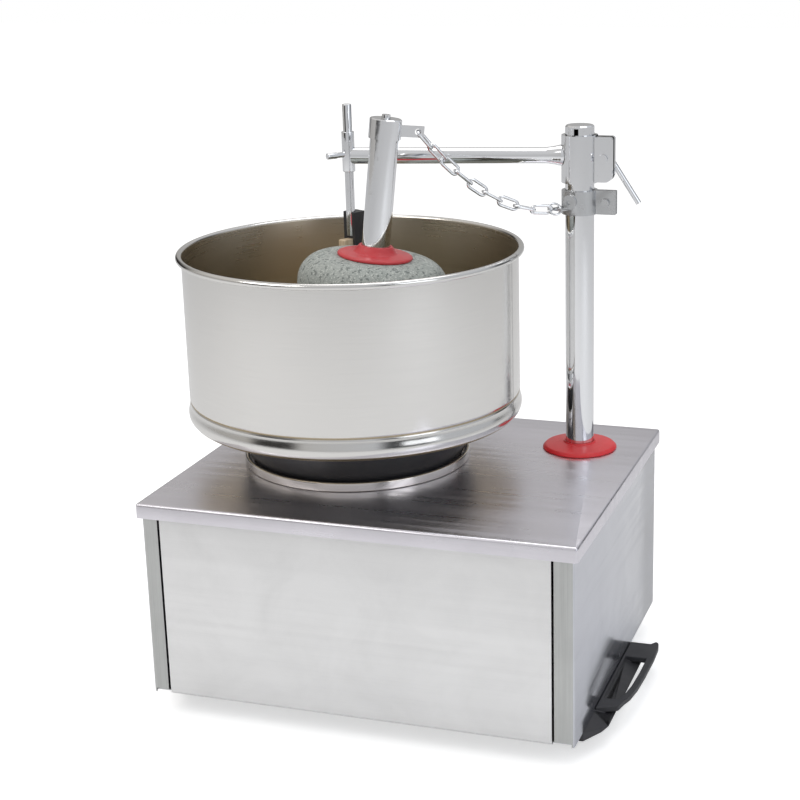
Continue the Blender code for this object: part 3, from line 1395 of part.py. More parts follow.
def arm(pivot):
    """The arm from the clamp to the tee, a bar that flares where it is welded to the clamp."""
    start = POST_RADIUS
    end = ARM_REACH - TEE_RADIUS / 2
    flare = SLEEVE_RADIUS + ARM_FLARE_LENGTH
    profile = [
        (0, end),
        (ARM_RADIUS, end),
        (ARM_RADIUS, flare),
        ((ARM_RADIUS + ARM_FLARE_RADIUS) / 2 - GAP, (flare + SLEEVE_RADIUS) / 2),
        (ARM_FLARE_RADIUS, SLEEVE_RADIUS),
        (ARM_FLARE_RADIUS, start),
        (0, start),
    ]
    obj = turned_part("arm_rod", profile, TUBE_STEPS, "chrome", pivot, rotation=(0, math.pi / 2, ARM_HEADING))
    tall = ARM_FLARE_RADIUS + OVERRUN
    post_data = rod_data("arm_post_cut", (0, 0, -tall), (0, 0, tall), SLEEVE_RADIUS + GAP, TUBE_STEPS)
    tee = tee_place()
    tee_data = rod_data("arm_tee_cut", (0, 0, -tall), (0, 0, tall), TEE_RADIUS + GAP, SMALL_STEPS)
    post_cut = add_tool("arm_post_cut", post_data, pivot)
    tee_cut = add_tool("arm_tee_cut", tee_data, pivot, tee)
    cut(obj, post_cut, tee_cut)


def tee_place():
    """The axis of the tee in the arm's frame."""
    return Vector((ARM_REACH * math.cos(ARM_HEADING), ARM_REACH * math.sin(ARM_HEADING), 0))


def tee_and_lock(pivot):
    """The upright sleeve at the arm's end, and the screw that locks the scraper rod in it."""
    bore = ROD_RADIUS + GAP
    profile = [(TEE_RADIUS, TEE_TOP), (TEE_RADIUS, -TEE_BOTTOM), (bore, -TEE_BOTTOM), (bore, TEE_TOP)]
    obj = turned_part("tee_sleeve", profile, SMALL_STEPS, "chrome", pivot, tee_place())
    turn = (0, math.pi / 2, LOCK_HEADING)
    start = (0, 0, 0)
    end = (0, 0, TEE_RADIUS + OVERRUN)
    hole_data = rod_data("lock_hole", start, end, LOCK_RADIUS + GAP, SMALL_STEPS)
    place_lock = tee_place() + Vector((0, 0, LOCK_LEVEL))
    cut(obj, add_tool("lock_hole", hole_data, pivot, place_lock, turn))
    reach = TEE_RADIUS + LOCK_LENGTH
    screw = [
        (0, reach),
        (LOCK_GRIP_RADIUS, reach),
        (LOCK_GRIP_RADIUS, reach - LOCK_GRIP_LENGTH),
        (LOCK_RADIUS, reach - LOCK_GRIP_LENGTH),
        (LOCK_RADIUS, ROD_RADIUS + GAP),
        (0, ROD_RADIUS + GAP),
    ]
    turned_part("rod_lock_screw", screw, SMALL_STEPS, "chrome", pivot, place_lock, turn)


def scraper(pivot):
    """The rod that slides in the tee, the holder at its foot and the wooden board in the holder."""
    profile = [(0, ROD_TOP), (ROD_RADIUS, ROD_TOP), (ROD_RADIUS, -ROD_BOTTOM), (0, -ROD_BOTTOM)]
    turned_part("scraper_rod", profile, SMALL_STEPS, "chrome", pivot)
    turn = (0, 0, BOARD_HEADING - math.pi / 2)
    half = HOLDER_WIDTH / 2
    low = (-half, -HOLDER_FRONT, -HOLDER_BOTTOM)
    high = (half, HOLDER_BACK, -HOLDER_TOP)
    obj = add_part("scraper_holder", box_data("scraper_holder", low, high), "black casting", pivot, rotation=turn)
    socket_ends = ((0, 0, -ROD_BOTTOM - GAP), (0, 0, -HOLDER_TOP + OVERRUN))
    socket_data = rod_data("holder_socket", *socket_ends, ROD_RADIUS + GAP, SMALL_STEPS)
    fork = BOARD_THICKNESS / 2 + GAP
    board_top = -ROD_BOTTOM - HOLDER_WEB
    fork_low = (-fork, -HOLDER_FRONT - OVERRUN, -HOLDER_BOTTOM - OVERRUN)
    fork_high = (fork, HOLDER_BACK + OVERRUN, board_top)
    fork_data = box_data("holder_fork", fork_low, fork_high)
    cut(obj, add_tool("holder_socket", socket_data, pivot), add_tool("holder_fork", fork_data, pivot, (0, 0, 0), turn))
    floor = DRUM_LEVEL + BASE_STONE_TOP + BOARD_FLOOR_GAP - ARM_WORLD_LEVEL
    top = board_top - GAP
    corners = [(-BOARD_FRONT, floor), (BOARD_BACK, floor), (BOARD_BACK, top), (-BOARD_FRONT, top)]
    outline = rounded_corners(corners, (BOARD_CORNER, BOARD_CORNER, BOARD_EDGE, BOARD_EDGE))
    data = plate_data("scraper_board", [outline], BOARD_THICKNESS)
    data.transform(Matrix.Rotation(math.pi / 2, 4, "Z") @ Matrix.Rotation(math.pi / 2, 4, "X"))
    add_part("scraper_board", data, "wood", pivot, rotation=turn)


def motor():
    """The motor hung in its saddle under the mount plate, with its shaft down to its pulley."""
    under_mount = PLATE_UNDERSIDE - GAP - MOUNT_THICKNESS - GAP
    half = MOTOR_RADIUS + GAP + BRACKET_THICKNESS
    front = MOTOR_Y - BRACKET_DEPTH / 2
    section = [
        (MOTOR_X - half, front, under_mount - BRACKET_EAR),
        (MOTOR_X - half, front, under_mount),
        (MOTOR_X + half, front, under_mount),
        (MOTOR_X + half, front, under_mount - BRACKET_EAR),
    ]
    sweep = (0, BRACKET_DEPTH, 0)
    folded_part("motor_bracket", section, sweep, BRACKET_THICKNESS, 2 * BRACKET_THICKNESS, "grey paint")
    top = under_mount - BRACKET_THICKNESS - GAP
    shoulder = MOTOR_SHOULDER
    bore = MOTOR_SHAFT_RADIUS + GAP
    profile = [
        (0, top),
        (MOTOR_RADIUS - shoulder, top),
        (MOTOR_RADIUS - shoulder / 4, top - shoulder / 2),
        (MOTOR_RADIUS, top - shoulder),
        (MOTOR_RADIUS, top - MOTOR_LENGTH + 2 * shoulder),
        (MOTOR_RADIUS - shoulder / 2, top - MOTOR_LENGTH + shoulder),
        (MOTOR_NOSE_RADIUS, top - MOTOR_LENGTH + MOTOR_NOSE_LENGTH),
        (MOTOR_NOSE_RADIUS, top - MOTOR_LENGTH),
        (bore, top - MOTOR_LENGTH),
        (bore, top - MOTOR_LENGTH + MOTOR_SHAFT_SEAT),
        (0, top - MOTOR_LENGTH + MOTOR_SHAFT_SEAT),
    ]
    turned_part("motor_body", profile, DISC_STEPS, "grey paint", location=(MOTOR_X, MOTOR_Y, 0))
    shaft_top = top - MOTOR_LENGTH + MOTOR_SHAFT_SEAT - GAP
    shaft_bottom = BASE_LEVEL + PULLEY_LEVEL - PULLEY_WIDTH / 2 - PULLEY_HUB_RISE
    shaft = [
        (0, shaft_top),
        (MOTOR_SHAFT_RADIUS, shaft_top),
        (MOTOR_SHAFT_RADIUS, shaft_bottom),
        (0, shaft_bottom),
    ]
    turned_part("motor_shaft", shaft, SMALL_STEPS, "zinc", location=(MOTOR_X, MOTOR_Y, 0))


def groove(radius):
    """The belt groove of a pulley, from its upper edge to its lower one."""
    floor = radius - GROOVE_DEPTH
    half = BELT_HEIGHT / 2 + GAP
    flared = half + GROOVE_FLARE
    return [(radius, flared), (floor, half), (floor, -half), (radius, -flared)]


def pulleys():
    """The big pulley on the spindle and the small one on the motor."""
    level = BASE_LEVEL + PULLEY_LEVEL
    half = PULLEY_WIDTH / 2
    web = PULLEY_WEB / 2
    rim = PULLEY_RADIUS - PULLEY_RIM
    hub_end = half + PULLEY_HUB_RISE
    bore = SPINDLE_TAIL_RADIUS + GAP
    fillet = PULLEY_WEB / 2
    profile = [
        (PULLEY_RADIUS, half),
        *groove(PULLEY_RADIUS),
        (PULLEY_RADIUS, -half),
        (rim, -half),
        (rim - fillet, -web),
        (PULLEY_HUB + fillet, -web),
        (PULLEY_HUB, -hub_end),
        (bore, -hub_end),
        (bore, hub_end),
        (PULLEY_HUB, hub_end),
        (PULLEY_HUB + fillet, web),
        (rim - fillet, web),
        (rim, half),
    ]
    big = turned_part("driven_pulley", profile, DISC_STEPS, "aluminium", location=(DRUM_X, DRUM_Y, level))
    for i in range(PULLEY_HOLES):
        angle = math.tau * i / PULLEY_HOLES
        centre_x = PULLEY_HOLE_CIRCLE * math.cos(angle)
        centre_y = PULLEY_HOLE_CIRCLE * math.sin(angle)
        ends = ((centre_x, centre_y, -half), (centre_x, centre_y, half))
        name = f"pulley_hole_{i + 1}"
        cut(big, add_tool(name, rod_data(name, *ends, PULLEY_HOLE_RADIUS, SMALL_STEPS), big))
    bore = MOTOR_SHAFT_RADIUS + GAP
    small = [
        (MOTOR_PULLEY_RADIUS, half),
        *groove(MOTOR_PULLEY_RADIUS),
        (MOTOR_PULLEY_RADIUS, -half),
        (bore, -half),
        (bore, half),
    ]
    turned_part("motor_pulley", small, TUBE_STEPS, "aluminium", location=(MOTOR_X, MOTOR_Y, level))


def belt_loop(grow):
    """The plan of one face of the belt, round both pulleys and straight between them."""
    apart = Vector((MOTOR_X - DRUM_X, MOTOR_Y - DRUM_Y))
    heading = math.atan2(apart.y, apart.x)
    large = PULLEY_RADIUS - GROOVE_DEPTH + GAP + grow
    small = MOTOR_PULLEY_RADIUS - GROOVE_DEPTH + GAP + grow
    open_angle = math.acos((large - small) / apart.length)
    points = []
    for centre, radius, start, end, count in (
        ((DRUM_X, DRUM_Y), large, open_angle, math.tau - open_angle, DISC_STEPS),
        ((MOTOR_X, MOTOR_Y), small, -open_angle, open_angle, SMALL_STEPS),
    ):
        bulged = radius / math.cos((end - start) / (count - 1) / 2)
        for i in range(count):
            angle = heading + start + (end - start) * i / (count - 1)
            points.append((centre[0] + bulged * math.cos(angle), centre[1] + bulged * math.sin(angle)))
    return points


def belt():
    """The drive belt in its two grooves."""
    loops = [belt_loop(BELT_THICKNESS), belt_loop(0)]
    data = plate_data("drive_belt", loops, BELT_HEIGHT)
    add_part("drive_belt", data, "rubber", location=(0, 0, BASE_LEVEL + PULLEY_LEVEL))


def capacitor():
    """The motor's capacitor, a can on the tray with its terminal block on top."""
    neck = CAPACITOR_RADIUS / 2
    profile = [
        (0, CAPACITOR_LENGTH + CAPACITOR_TERMINAL),
        (neck, CAPACITOR_LENGTH + CAPACITOR_TERMINAL),
        (neck, CAPACITOR_LENGTH),
        (CAPACITOR_RADIUS - BEARING_EDGE, CAPACITOR_LENGTH),
        (CAPACITOR_RADIUS, CAPACITOR_LENGTH - BEARING_EDGE),
        (CAPACITOR_RADIUS, 0),
        (0, 0),
    ]
    place_can = (CAPACITOR_X, CAPACITOR_Y, TRAY_FLOOR + GAP)
    turned_part("capacitor", profile, TUBE_STEPS, "aluminium", location=place_can)


def centre_over_origin():
    """Move everything forward, since the drum's rim stands out behind the cabinet."""
    for obj in (*PARTS.objects, *TOOLS.objects):
        if obj.parent is None:
            obj.location.y -= REAR_SHIFT


def build():
    """All the pieces, from the table up."""
    feet()
    base_tray()
    side_wall("right_side", 1, RIGHT_FLANGE)
    left_side()
    front_or_rear_panel("front_panel", -1)
    rear_panel()
    handle("left_handle", -1)
    handle("right_handle", 1)
    switch()
    cable_gland()
    top_plate()
    mount_plate()
    bearing_housing()
    spindle()
    motor()
    pulleys()
    belt()
    capacitor()
    seat_ring()
    turntable()
    drum_shell()
    base_stone()
    post()
    clamp_pivot = add_pivot("chain_clamp_pivot", (POST_X, POST_Y, PLATE_LEVEL + CHAIN_CLAMP_LEVEL))
    eye_hole = clamp_pivot.location + chain_clamp(clamp_pivot)
    stone_axis = stone_pivot()
    roller_stone(stone_axis)
    stone_bushes(stone_axis)
    lean = stone_axis.rotation_euler.to_matrix()
    top_point = stone_axis.location + lean @ Vector((0, 0, AXLE_LENGTH))
    toward_eye = eye_hole - top_point
    lug_hole = axle(stone_axis, math.atan2(toward_eye.y, toward_eye.x))
    lug_turn = Matrix.Rotation(math.atan2(toward_eye.y, toward_eye.x), 3, "Z")
    chain(stone_axis.location + lean @ lug_turn @ lug_hole, eye_hole)
    arm_pivot = add_pivot("arm_pivot", (POST_X, POST_Y, ARM_WORLD_LEVEL))
    arm_clamp(arm_pivot)
    clamp_lever(arm_pivot)
    arm(arm_pivot)
    tee_and_lock(arm_pivot)
    scraper_pivot = add_pivot("scraper_pivot", arm_pivot.location + tee_place())
    scraper(scraper_pivot)
    centre_over_origin()


build()
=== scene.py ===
"""Looks for the table-top wet grinder: materials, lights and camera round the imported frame."""

import json
import math

import bmesh
import bpy
from mathutils import Matrix, Vector


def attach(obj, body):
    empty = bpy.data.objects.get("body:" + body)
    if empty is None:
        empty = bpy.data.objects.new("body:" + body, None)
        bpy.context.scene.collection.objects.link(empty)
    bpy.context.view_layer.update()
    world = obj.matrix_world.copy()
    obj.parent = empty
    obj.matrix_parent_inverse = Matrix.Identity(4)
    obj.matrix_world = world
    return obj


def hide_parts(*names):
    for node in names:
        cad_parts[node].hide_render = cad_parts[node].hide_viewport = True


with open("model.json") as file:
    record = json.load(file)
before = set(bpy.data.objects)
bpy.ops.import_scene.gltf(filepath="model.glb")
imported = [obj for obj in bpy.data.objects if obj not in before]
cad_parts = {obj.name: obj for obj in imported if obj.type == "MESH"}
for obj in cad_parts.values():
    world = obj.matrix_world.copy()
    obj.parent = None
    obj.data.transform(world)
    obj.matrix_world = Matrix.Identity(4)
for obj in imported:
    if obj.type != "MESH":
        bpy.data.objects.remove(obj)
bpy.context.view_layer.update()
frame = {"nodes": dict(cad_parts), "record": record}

# Places in the frame, in metres
DRUM_AXIS = Vector((-0.071, 0.0112, 0.2977))
POST_AXIS = Vector((0.165, 0.1012, 0.246))
STONE_FOOT = Vector((-0.0367, -0.0486, 0.344453))
STONE_UP = Vector((0.105848, 0.034392, 0.993787))
PLATE_TOP = 0.246
TEE_MIDDLE = Vector((-0.084428, 0.048183, 0.5803))
SCREW_WAY = Vector((-0.615662, -0.788011, 0))
SCREW_LIFT = 0.0017

# The drum: its sheet, its rolled rim, the groove of its seam and the curve of its foot
DRUM_OUTER = 0.1844
DRUM_SHEET = 0.001
RIM_OUTER = 0.1906
RIM_TOP = 0.1893
SEAM_TOP = 0.0293
SEAM_SPAN = 0.0060
SEAM_DEPTH = 0.0008
SWELL = 0.0020
SWELL_TOP = 0.0232
SWELL_DROP = 0.0112
FOOT_CURVE = 0.0120
FOOT_INSET = 0.0100
FLOOR_INSET = 0.0090
FLOOR_UNDER = 0.0020
FLOOR_TOP = 0.0030
CORNER_INSET = 0.0022
CORNER_TOP = 0.0052
WELD_ANGLE = 0.0

# The granite floor of the drum
FLOOR_RADIUS = 0.1823
FLOOR_FACE = 0.0386
FLOOR_DISH = 0.030
FLOOR_DISH_WIDTH = 0.027
FLOOR_RISE = 0.006
FLOOR_CHAMFER = 0.009
FLOOR_BASE = 0.0033

# The roller and its axle
STONE_RADIUS = 0.080
STONE_HEIGHT = 0.145
STONE_SHOULDER = 0.028
STONE_HEEL = 0.010
STONE_BORE = 0.021
POCKET_RADIUS = 0.032
POCKET_DEPTH = 0.006
AXLE_OUTER = 0.015
AXLE_BORE = 0.0125
AXLE_LOW = 0.004
AXLE_HIGH = 0.2855

# The chain
LINK_WIRE = 0.0034
LINK_WIDTH = 0.0130
LINK_PITCH = 0.0200
LINK_COUNT = 9
RING_WIRE = 0.0026
RING_WIDTH = 0.0165

# The scraper's rod
ROD_RADIUS = 0.005
ROD_TOP = 0.0567
ROD_LOW = -0.089
ROD_EASE = 0.0008

# Outlines of turned pieces: radius and height of each corner
STONE_BUSH = (
    (0.0175, 0.1578), (0.0205, 0.1535), (0.0235, 0.1502), (0.037, 0.14925), (0.040, 0.148),
    (0.040, 0.1453), (0.0207, 0.1453), (0.0207, 0.100), (0.0153, 0.100), (0.0153, 0.1578),
)
POST_BUSH = (
    (0.0178, 0.0088), (0.0185, 0.0071), (0.0292, 0.0060), (0.039, 0.0045), (0.042, 0.0015),
    (0.042, 0.0003), (0.0163, 0.0003), (0.0163, 0.0088),
)
SEAT_RING = (
    (0.12615, 0.0104), (0.1274, 0.00915), (0.1274, 0.0003),
    (0.1224, 0.0003), (0.1224, 0.00915), (0.12365, 0.0104),
)
TEE_SLEEVE = ((0.007, 0.0267), (0.007, -0.0173), (0.0053, -0.0173), (0.0053, 0.0267))
LOCK_SCREW = ((0, 0.027), (0.0034, 0.027), (0.0034, 0.015), (0.003, 0.015), (0.003, 0.0053), (0, 0.0053))
TURNTABLE = (
    (0, 0.0534), (0.112, 0.0534), (0.115, 0.0504), (0.132, 0.047), (0.135, 0.044), (0.118, 0.004),
    (0.112, 0.004), (0.123, 0.0354), (0.106, 0.0414), (0.032, 0.0414), (0.026, 0.005), (0.0125, 0.005),
    (0.0125, 0.039), (0, 0.039),
)

COLOURS = {
    "drum": (0.80, 0.79, 0.77),
    "drum streak": (0.66, 0.65, 0.64),
    # Painted shade: the brownish dark laid over the inside of the drum
    "drum painted_shade": (0.42, 0.33, 0.19),
    "weld": (0.40, 0.39, 0.38),
    "plate": (0.82, 0.80, 0.85),
    "front": (0.93, 0.93, 0.93),
    "flange": (0.60, 0.61, 0.60),
    "side": (0.68, 0.69, 0.74),
    "chrome": (0.86, 0.87, 0.89),
    "ring": (0.74, 0.71, 0.67),
    "zinc": (0.60, 0.61, 0.62),
    "aluminium": (0.68, 0.69, 0.70),
}


# Node helpers


def link(tree, source, target):
    """Join an output to an input, or set the input to a constant."""
    if hasattr(source, "is_output"):
        tree.links.new(source, target)
    else:
        target.default_value = source


def add(tree, kind, settings=None, **inputs):
    """A node with its settings, and its inputs joined or set."""
    node = tree.nodes.new("ShaderNode" + kind)
    for key, value in (settings or {}).items():
        setattr(node, key, value)
    for key, value in inputs.items():
        name = key.replace("_", " ")
        numbered = name.startswith("in") and name[2:].isdigit()
        link(tree, value, node.inputs[int(name[2:])] if numbered else node.inputs[name])
    return node


def calc(tree, operation, *values, clamp=False):
    """One step of arithmetic."""
    node = tree.nodes.new("ShaderNodeMath")
    node.operation = operation
    node.use_clamp = clamp
    for socket, value in zip(node.inputs, values):
        link(tree, value, socket)
    return node.outputs[0]


def ramp(tree, value, low, high, to_low=0.0, to_high=1.0):
    """A value carried from one range to another, and held inside it."""
    node = add(tree, "MapRange", {"clamp": True}, Value=value)
    for name, number in (("From Min", low), ("From Max", high), ("To Min", to_low), ("To Max", to_high)):
        link(tree, number, node.inputs[name])
    return node.outputs["Result"]


def stretch(tree, vector, scale):
    """A vector with each of its lengths scaled."""
    return add(tree, "Mapping", Vector=vector, Scale=scale).outputs["Vector"]


def noise(tree, vector, scale, detail=4.0, rough=0.55, distortion=0.0):
    """Noise from 0 to 1."""
    node = add(tree, "TexNoise", Vector=vector, Scale=scale, Detail=detail, Roughness=rough)
    link(tree, distortion, node.inputs["Distortion"])
    return node.outputs["Fac"]


def mix_colour(tree, factor, first, second, blend="MIX"):
    """Two colours mixed."""
    node = tree.nodes.new("ShaderNodeMix")
    node.data_type = "RGBA"
    node.blend_type = blend
    link(tree, factor, node.inputs["Factor"])
    link(tree, first, node.inputs[6])
    link(tree, second, node.inputs[7])
    return node.outputs[2]


def rgba(colour):
    return (*colour, 1.0)


def new_group(name, inputs, outputs):
    """A node group with its sockets. Gives the tree and its two end nodes."""
    tree = bpy.data.node_groups.new(name, "ShaderNodeTree")
    for label, kind, default in inputs:
        socket = tree.interface.new_socket(label, in_out="INPUT", socket_type=kind)
        if default is not None:
            socket.default_value = default
    for label, kind in outputs:
        tree.interface.new_socket(label, in_out="OUTPUT", socket_type=kind)
    return tree, tree.nodes.new("NodeGroupInput"), tree.nodes.new("NodeGroupOutput")


def use_group(tree, group, **inputs):
    """A group in a material, with its inputs joined or set."""
    node = tree.nodes.new("ShaderNodeGroup")
    node.node_tree = group
    for key, value in inputs.items():
        link(tree, value, node.inputs[key.replace("_", " ")])
    return node


# Effects that several materials share

FLOAT = "NodeSocketFloat"
VECTOR = "NodeSocketVector"


def make_grain():
    """Brush marks along one direction: long fine streaks over softer ones."""
    tree, start, end = new_group(
        "brush_grain",
        [("Vector", VECTOR, None), ("Fine", VECTOR, (6, 900, 900)), ("Broad", VECTOR, (1.5, 90, 90))],
        [("Streaks", FLOAT), ("Broad", FLOAT)],
    )
    fine = add(tree, "VectorMath", {"operation": "MULTIPLY"}, in0=start.outputs[0], in1=start.outputs[1])
    broad = add(tree, "VectorMath", {"operation": "MULTIPLY"}, in0=start.outputs[0], in1=start.outputs[2])
    first = noise(tree, fine.outputs[0], 1.0, 3.0, 0.6)
    second = noise(tree, broad.outputs[0], 1.0, 2.0, 0.5)
    link(tree, ramp(tree, first, 0.3, 0.7), end.inputs[0])
    link(tree, ramp(tree, second, 0.35, 0.65), end.inputs[1])
    return tree


def make_smudges():
    """Handling marks: broad cloudy patches, and thin random scratches."""
    tree, start, end = new_group(
        "smudges",
        [("Vector", VECTOR, None), ("Scale", FLOAT, 14.0)],
        [("Cloud", FLOAT), ("Scratches", FLOAT)],
    )
    cloud = noise(tree, start.outputs[0], start.outputs[1], 5.0, 0.62, 0.6)
    link(tree, ramp(tree, cloud, 0.38, 0.68), end.inputs[0])
    marks = []
    for turn in (0.4, 1.5, 2.5):
        swung = add(tree, "VectorRotate", Vector=start.outputs[0], Angle=turn)
        thin = stretch(tree, swung.outputs[0], (4, 520, 90))
        marks.append(ramp(tree, noise(tree, thin, 1.0, 1.0, 0.4), 0.70, 0.78))
    total = calc(tree, "MAXIMUM", calc(tree, "MAXIMUM", marks[0], marks[1]), marks[2])
    gate = ramp(tree, noise(tree, start.outputs[0], 9.0, 2.0), 0.5, 0.62)
    link(tree, calc(tree, "MULTIPLY", total, gate), end.inputs[1])
    return tree


def make_pits():
    """Small pits and lumps of a cast, moulded or pecked surface."""
    tree, start, end = new_group(
        "pits",
        [("Vector", VECTOR, None), ("Scale", FLOAT, 600.0)],
        [("Height", FLOAT), ("Patches", FLOAT)],
    )
    cells = add(tree, "TexVoronoi", Vector=start.outputs[0], Scale=start.outputs[1])
    fine = noise(tree, start.outputs[0], calc(tree, "MULTIPLY", start.outputs[1], 0.5), 4.0, 0.6)
    link(tree, calc(tree, "ADD", calc(tree, "MULTIPLY", cells.outputs["Distance"], 0.5), fine), end.inputs[0])
    link(tree, ramp(tree, noise(tree, start.outputs[0], 22.0, 4.0), 0.35, 0.65), end.inputs[1])
    return tree


def make_around():
    """Place round an axis: angle, height and distance from it."""
    tree, start, end = new_group(
        "around_axis",
        [("Vector", VECTOR, None), ("Centre", VECTOR, (0, 0, 0))],
        [("Wrapped", VECTOR), ("Angle", FLOAT), ("Height", FLOAT), ("Distance", FLOAT)],
    )
    moved = add(tree, "VectorMath", {"operation": "SUBTRACT"}, in0=start.outputs[0], in1=start.outputs[1])
    split = add(tree, "SeparateXYZ", Vector=moved.outputs[0])
    angle = calc(tree, "ARCTAN2", split.outputs[1], split.outputs[0])
    flat = add(tree, "CombineXYZ", X=split.outputs[0], Y=split.outputs[1])
    far = add(tree, "VectorMath", {"operation": "LENGTH"}, in0=flat.outputs[0])
    wrapped = add(tree, "CombineXYZ", X=angle, Y=far.outputs["Value"], Z=split.outputs[2])
    link(tree, wrapped.outputs[0], end.inputs[0])
    link(tree, angle, end.inputs[1])
    link(tree, split.outputs[2], end.inputs[2])
    link(tree, far.outputs["Value"], end.inputs[3])
    return tree


GRAIN = make_grain()
SMUDGES = make_smudges()
PITS = make_pits()
AROUND = make_around()


# Materials


def new_material(name):
    """A material's tree, its shader and its Object coordinates."""
    material = bpy.data.materials.new(name)
    material.use_nodes = True
    tree = material.node_tree
    shader = tree.nodes["Principled BSDF"]
    place = tree.nodes.new("ShaderNodeTexCoord").outputs["Object"]
    return material, tree, shader, place


def set_bump(tree, shader, height, strength, distance):
    """Relief from a height, in metres."""
    bump = add(tree, "Bump", Height=height, Strength=strength, Distance=distance)
    link(tree, bump.outputs[0], shader.inputs["Normal"])


def brushed_metal(name, colour, roughness, fine, broad, depth=0.00003, cloudy=0.08, contrast=0.10):
    """Rolled or brushed steel with streaks, smudges and thin scratches."""
    material, tree, shader, place = new_material(name)
    grain = use_group(tree, GRAIN, Vector=place, Fine=fine, Broad=broad)
    marks = use_group(tree, SMUDGES, Vector=place)
    tone = calc(tree, "MULTIPLY_ADD", grain.outputs["Streaks"], contrast, 1.0 - contrast)
    tone = calc(tree, "MULTIPLY", tone, calc(tree, "MULTIPLY_ADD", marks.outputs["Cloud"], -0.05, 1.0))
    grey = add(tree, "CombineColor", Red=tone, Green=tone, Blue=tone)
    link(tree, mix_colour(tree, 1.0, rgba(colour), grey.outputs[0], "MULTIPLY"), shader.inputs["Base Color"])
    shader.inputs["Metallic"].default_value = 1.0
    rough = calc(tree, "MULTIPLY_ADD", grain.outputs["Broad"], roughness * 0.35, roughness * 0.75)
    rough = calc(tree, "MULTIPLY_ADD", marks.outputs["Cloud"], cloudy, rough)
    rough = calc(tree, "MULTIPLY_ADD", marks.outputs["Scratches"], 0.12, rough, clamp=True)
    link(tree, rough, shader.inputs["Roughness"])
    cuts = calc(tree, "MULTIPLY", marks.outputs["Scratches"], -0.8)
    height = calc(tree, "ADD", grain.outputs["Streaks"], cuts)
    set_bump(tree, shader, height, 0.35, depth)
    return material


def polished_metal(name, colour, roughness, dirt=0.05):
    """Chromed or polished metal with faint marks."""
    material, tree, shader, place = new_material(name)
    marks = use_group(tree, SMUDGES, Vector=place, Scale=34.0)
    speck = ramp(tree, noise(tree, place, 900.0, 2.0), 0.66, 0.74)
    dull = [channel * 0.55 for channel in colour]
    shade = mix_colour(tree, calc(tree, "MULTIPLY", speck, 0.35), rgba(colour), rgba(dull))
    link(tree, shade, shader.inputs["Base Color"])
    shader.inputs["Metallic"].default_value = 1.0
    rough = calc(tree, "MULTIPLY_ADD", marks.outputs["Cloud"], dirt, roughness)
    rough = calc(tree, "MULTIPLY_ADD", marks.outputs["Scratches"], 0.10, rough)
    link(tree, calc(tree, "MULTIPLY_ADD", speck, 0.15, rough), shader.inputs["Roughness"])
    wave = noise(tree, place, 55.0, 2.0)
    set_bump(tree, shader, calc(tree, "MULTIPLY_ADD", marks.outputs["Scratches"], -0.15, wave), 0.25, 0.00012)
    return material


def spun_steel():
    """The drum: turned lines round its axis, a vertical weld, and painted shade inside with a rougher finish,
    both strongest towards the bottom.
    """
    material, tree, shader, place = new_material("spun_steel")
    about = use_group(tree, AROUND, Vector=place, Centre=tuple(DRUM_AXIS))
    wrapped = about.outputs["Wrapped"]
    lines = use_group(tree, GRAIN, Vector=wrapped, Fine=(3.0, 700, 2600), Broad=(0.6, 60, 260))
    marks = use_group(tree, SMUDGES, Vector=place, Scale=9.0)
    weld = calc(tree, "ABSOLUTE", calc(tree, "SUBTRACT", about.outputs["Angle"], WELD_ANGLE))
    weld = ramp(tree, weld, 0.0035, 0.012, 1.0, 0.0)
    wall = ramp(tree, about.outputs["Distance"], 0.178, 0.180)
    weld = calc(tree, "MULTIPLY", weld, wall)
    # Painted shade inside the drum: full below a ragged edge low on the wall, easing to just over half higher
    # up
    inside = ramp(tree, about.outputs["Distance"], 0.1836, 0.1840, 1.0, 0.0)
    shade_edge = calc(tree, "MULTIPLY_ADD", noise(tree, place, 7.0, 3.0), 0.05, 0.05)
    low = calc(tree, "SUBTRACT", about.outputs["Height"], shade_edge)
    painted_shade = calc(tree, "MULTIPLY", ramp(tree, low, 0.0, 0.12, 1.0, 0.55), inside)
    streaks = calc(tree, "MULTIPLY", lines.outputs["Streaks"], 0.35)
    tone = mix_colour(tree, streaks, rgba(COLOURS["drum"]), rgba(COLOURS["drum streak"]))
    # The painted shade darkens and browns the inside of the drum
    tone = mix_colour(tree, calc(tree, "MULTIPLY", painted_shade, 0.9), tone, rgba(COLOURS["drum painted_shade"]))
    tone = mix_colour(tree, calc(tree, "MULTIPLY", weld, 0.6), tone, rgba(COLOURS["weld"]))
    link(tree, tone, shader.inputs["Base Color"])
    shader.inputs["Metallic"].default_value = 1.0
    rough = calc(tree, "MULTIPLY_ADD", lines.outputs["Broad"], 0.05, 0.10)
    rough = calc(tree, "MULTIPLY_ADD", marks.outputs["Cloud"], 0.05, rough)
    # The same mask of painted shade also makes the inside rougher
    rough = calc(tree, "MULTIPLY_ADD", painted_shade, 0.22, rough)
    rough = calc(tree, "MULTIPLY_ADD", marks.outputs["Scratches"], 0.08, rough)
    link(tree, rough, shader.inputs["Roughness"])
    height = calc(tree, "MULTIPLY_ADD", weld, 6.0, lines.outputs["Streaks"])
    set_bump(tree, shader, height, 0.30, 0.00004)
    return material


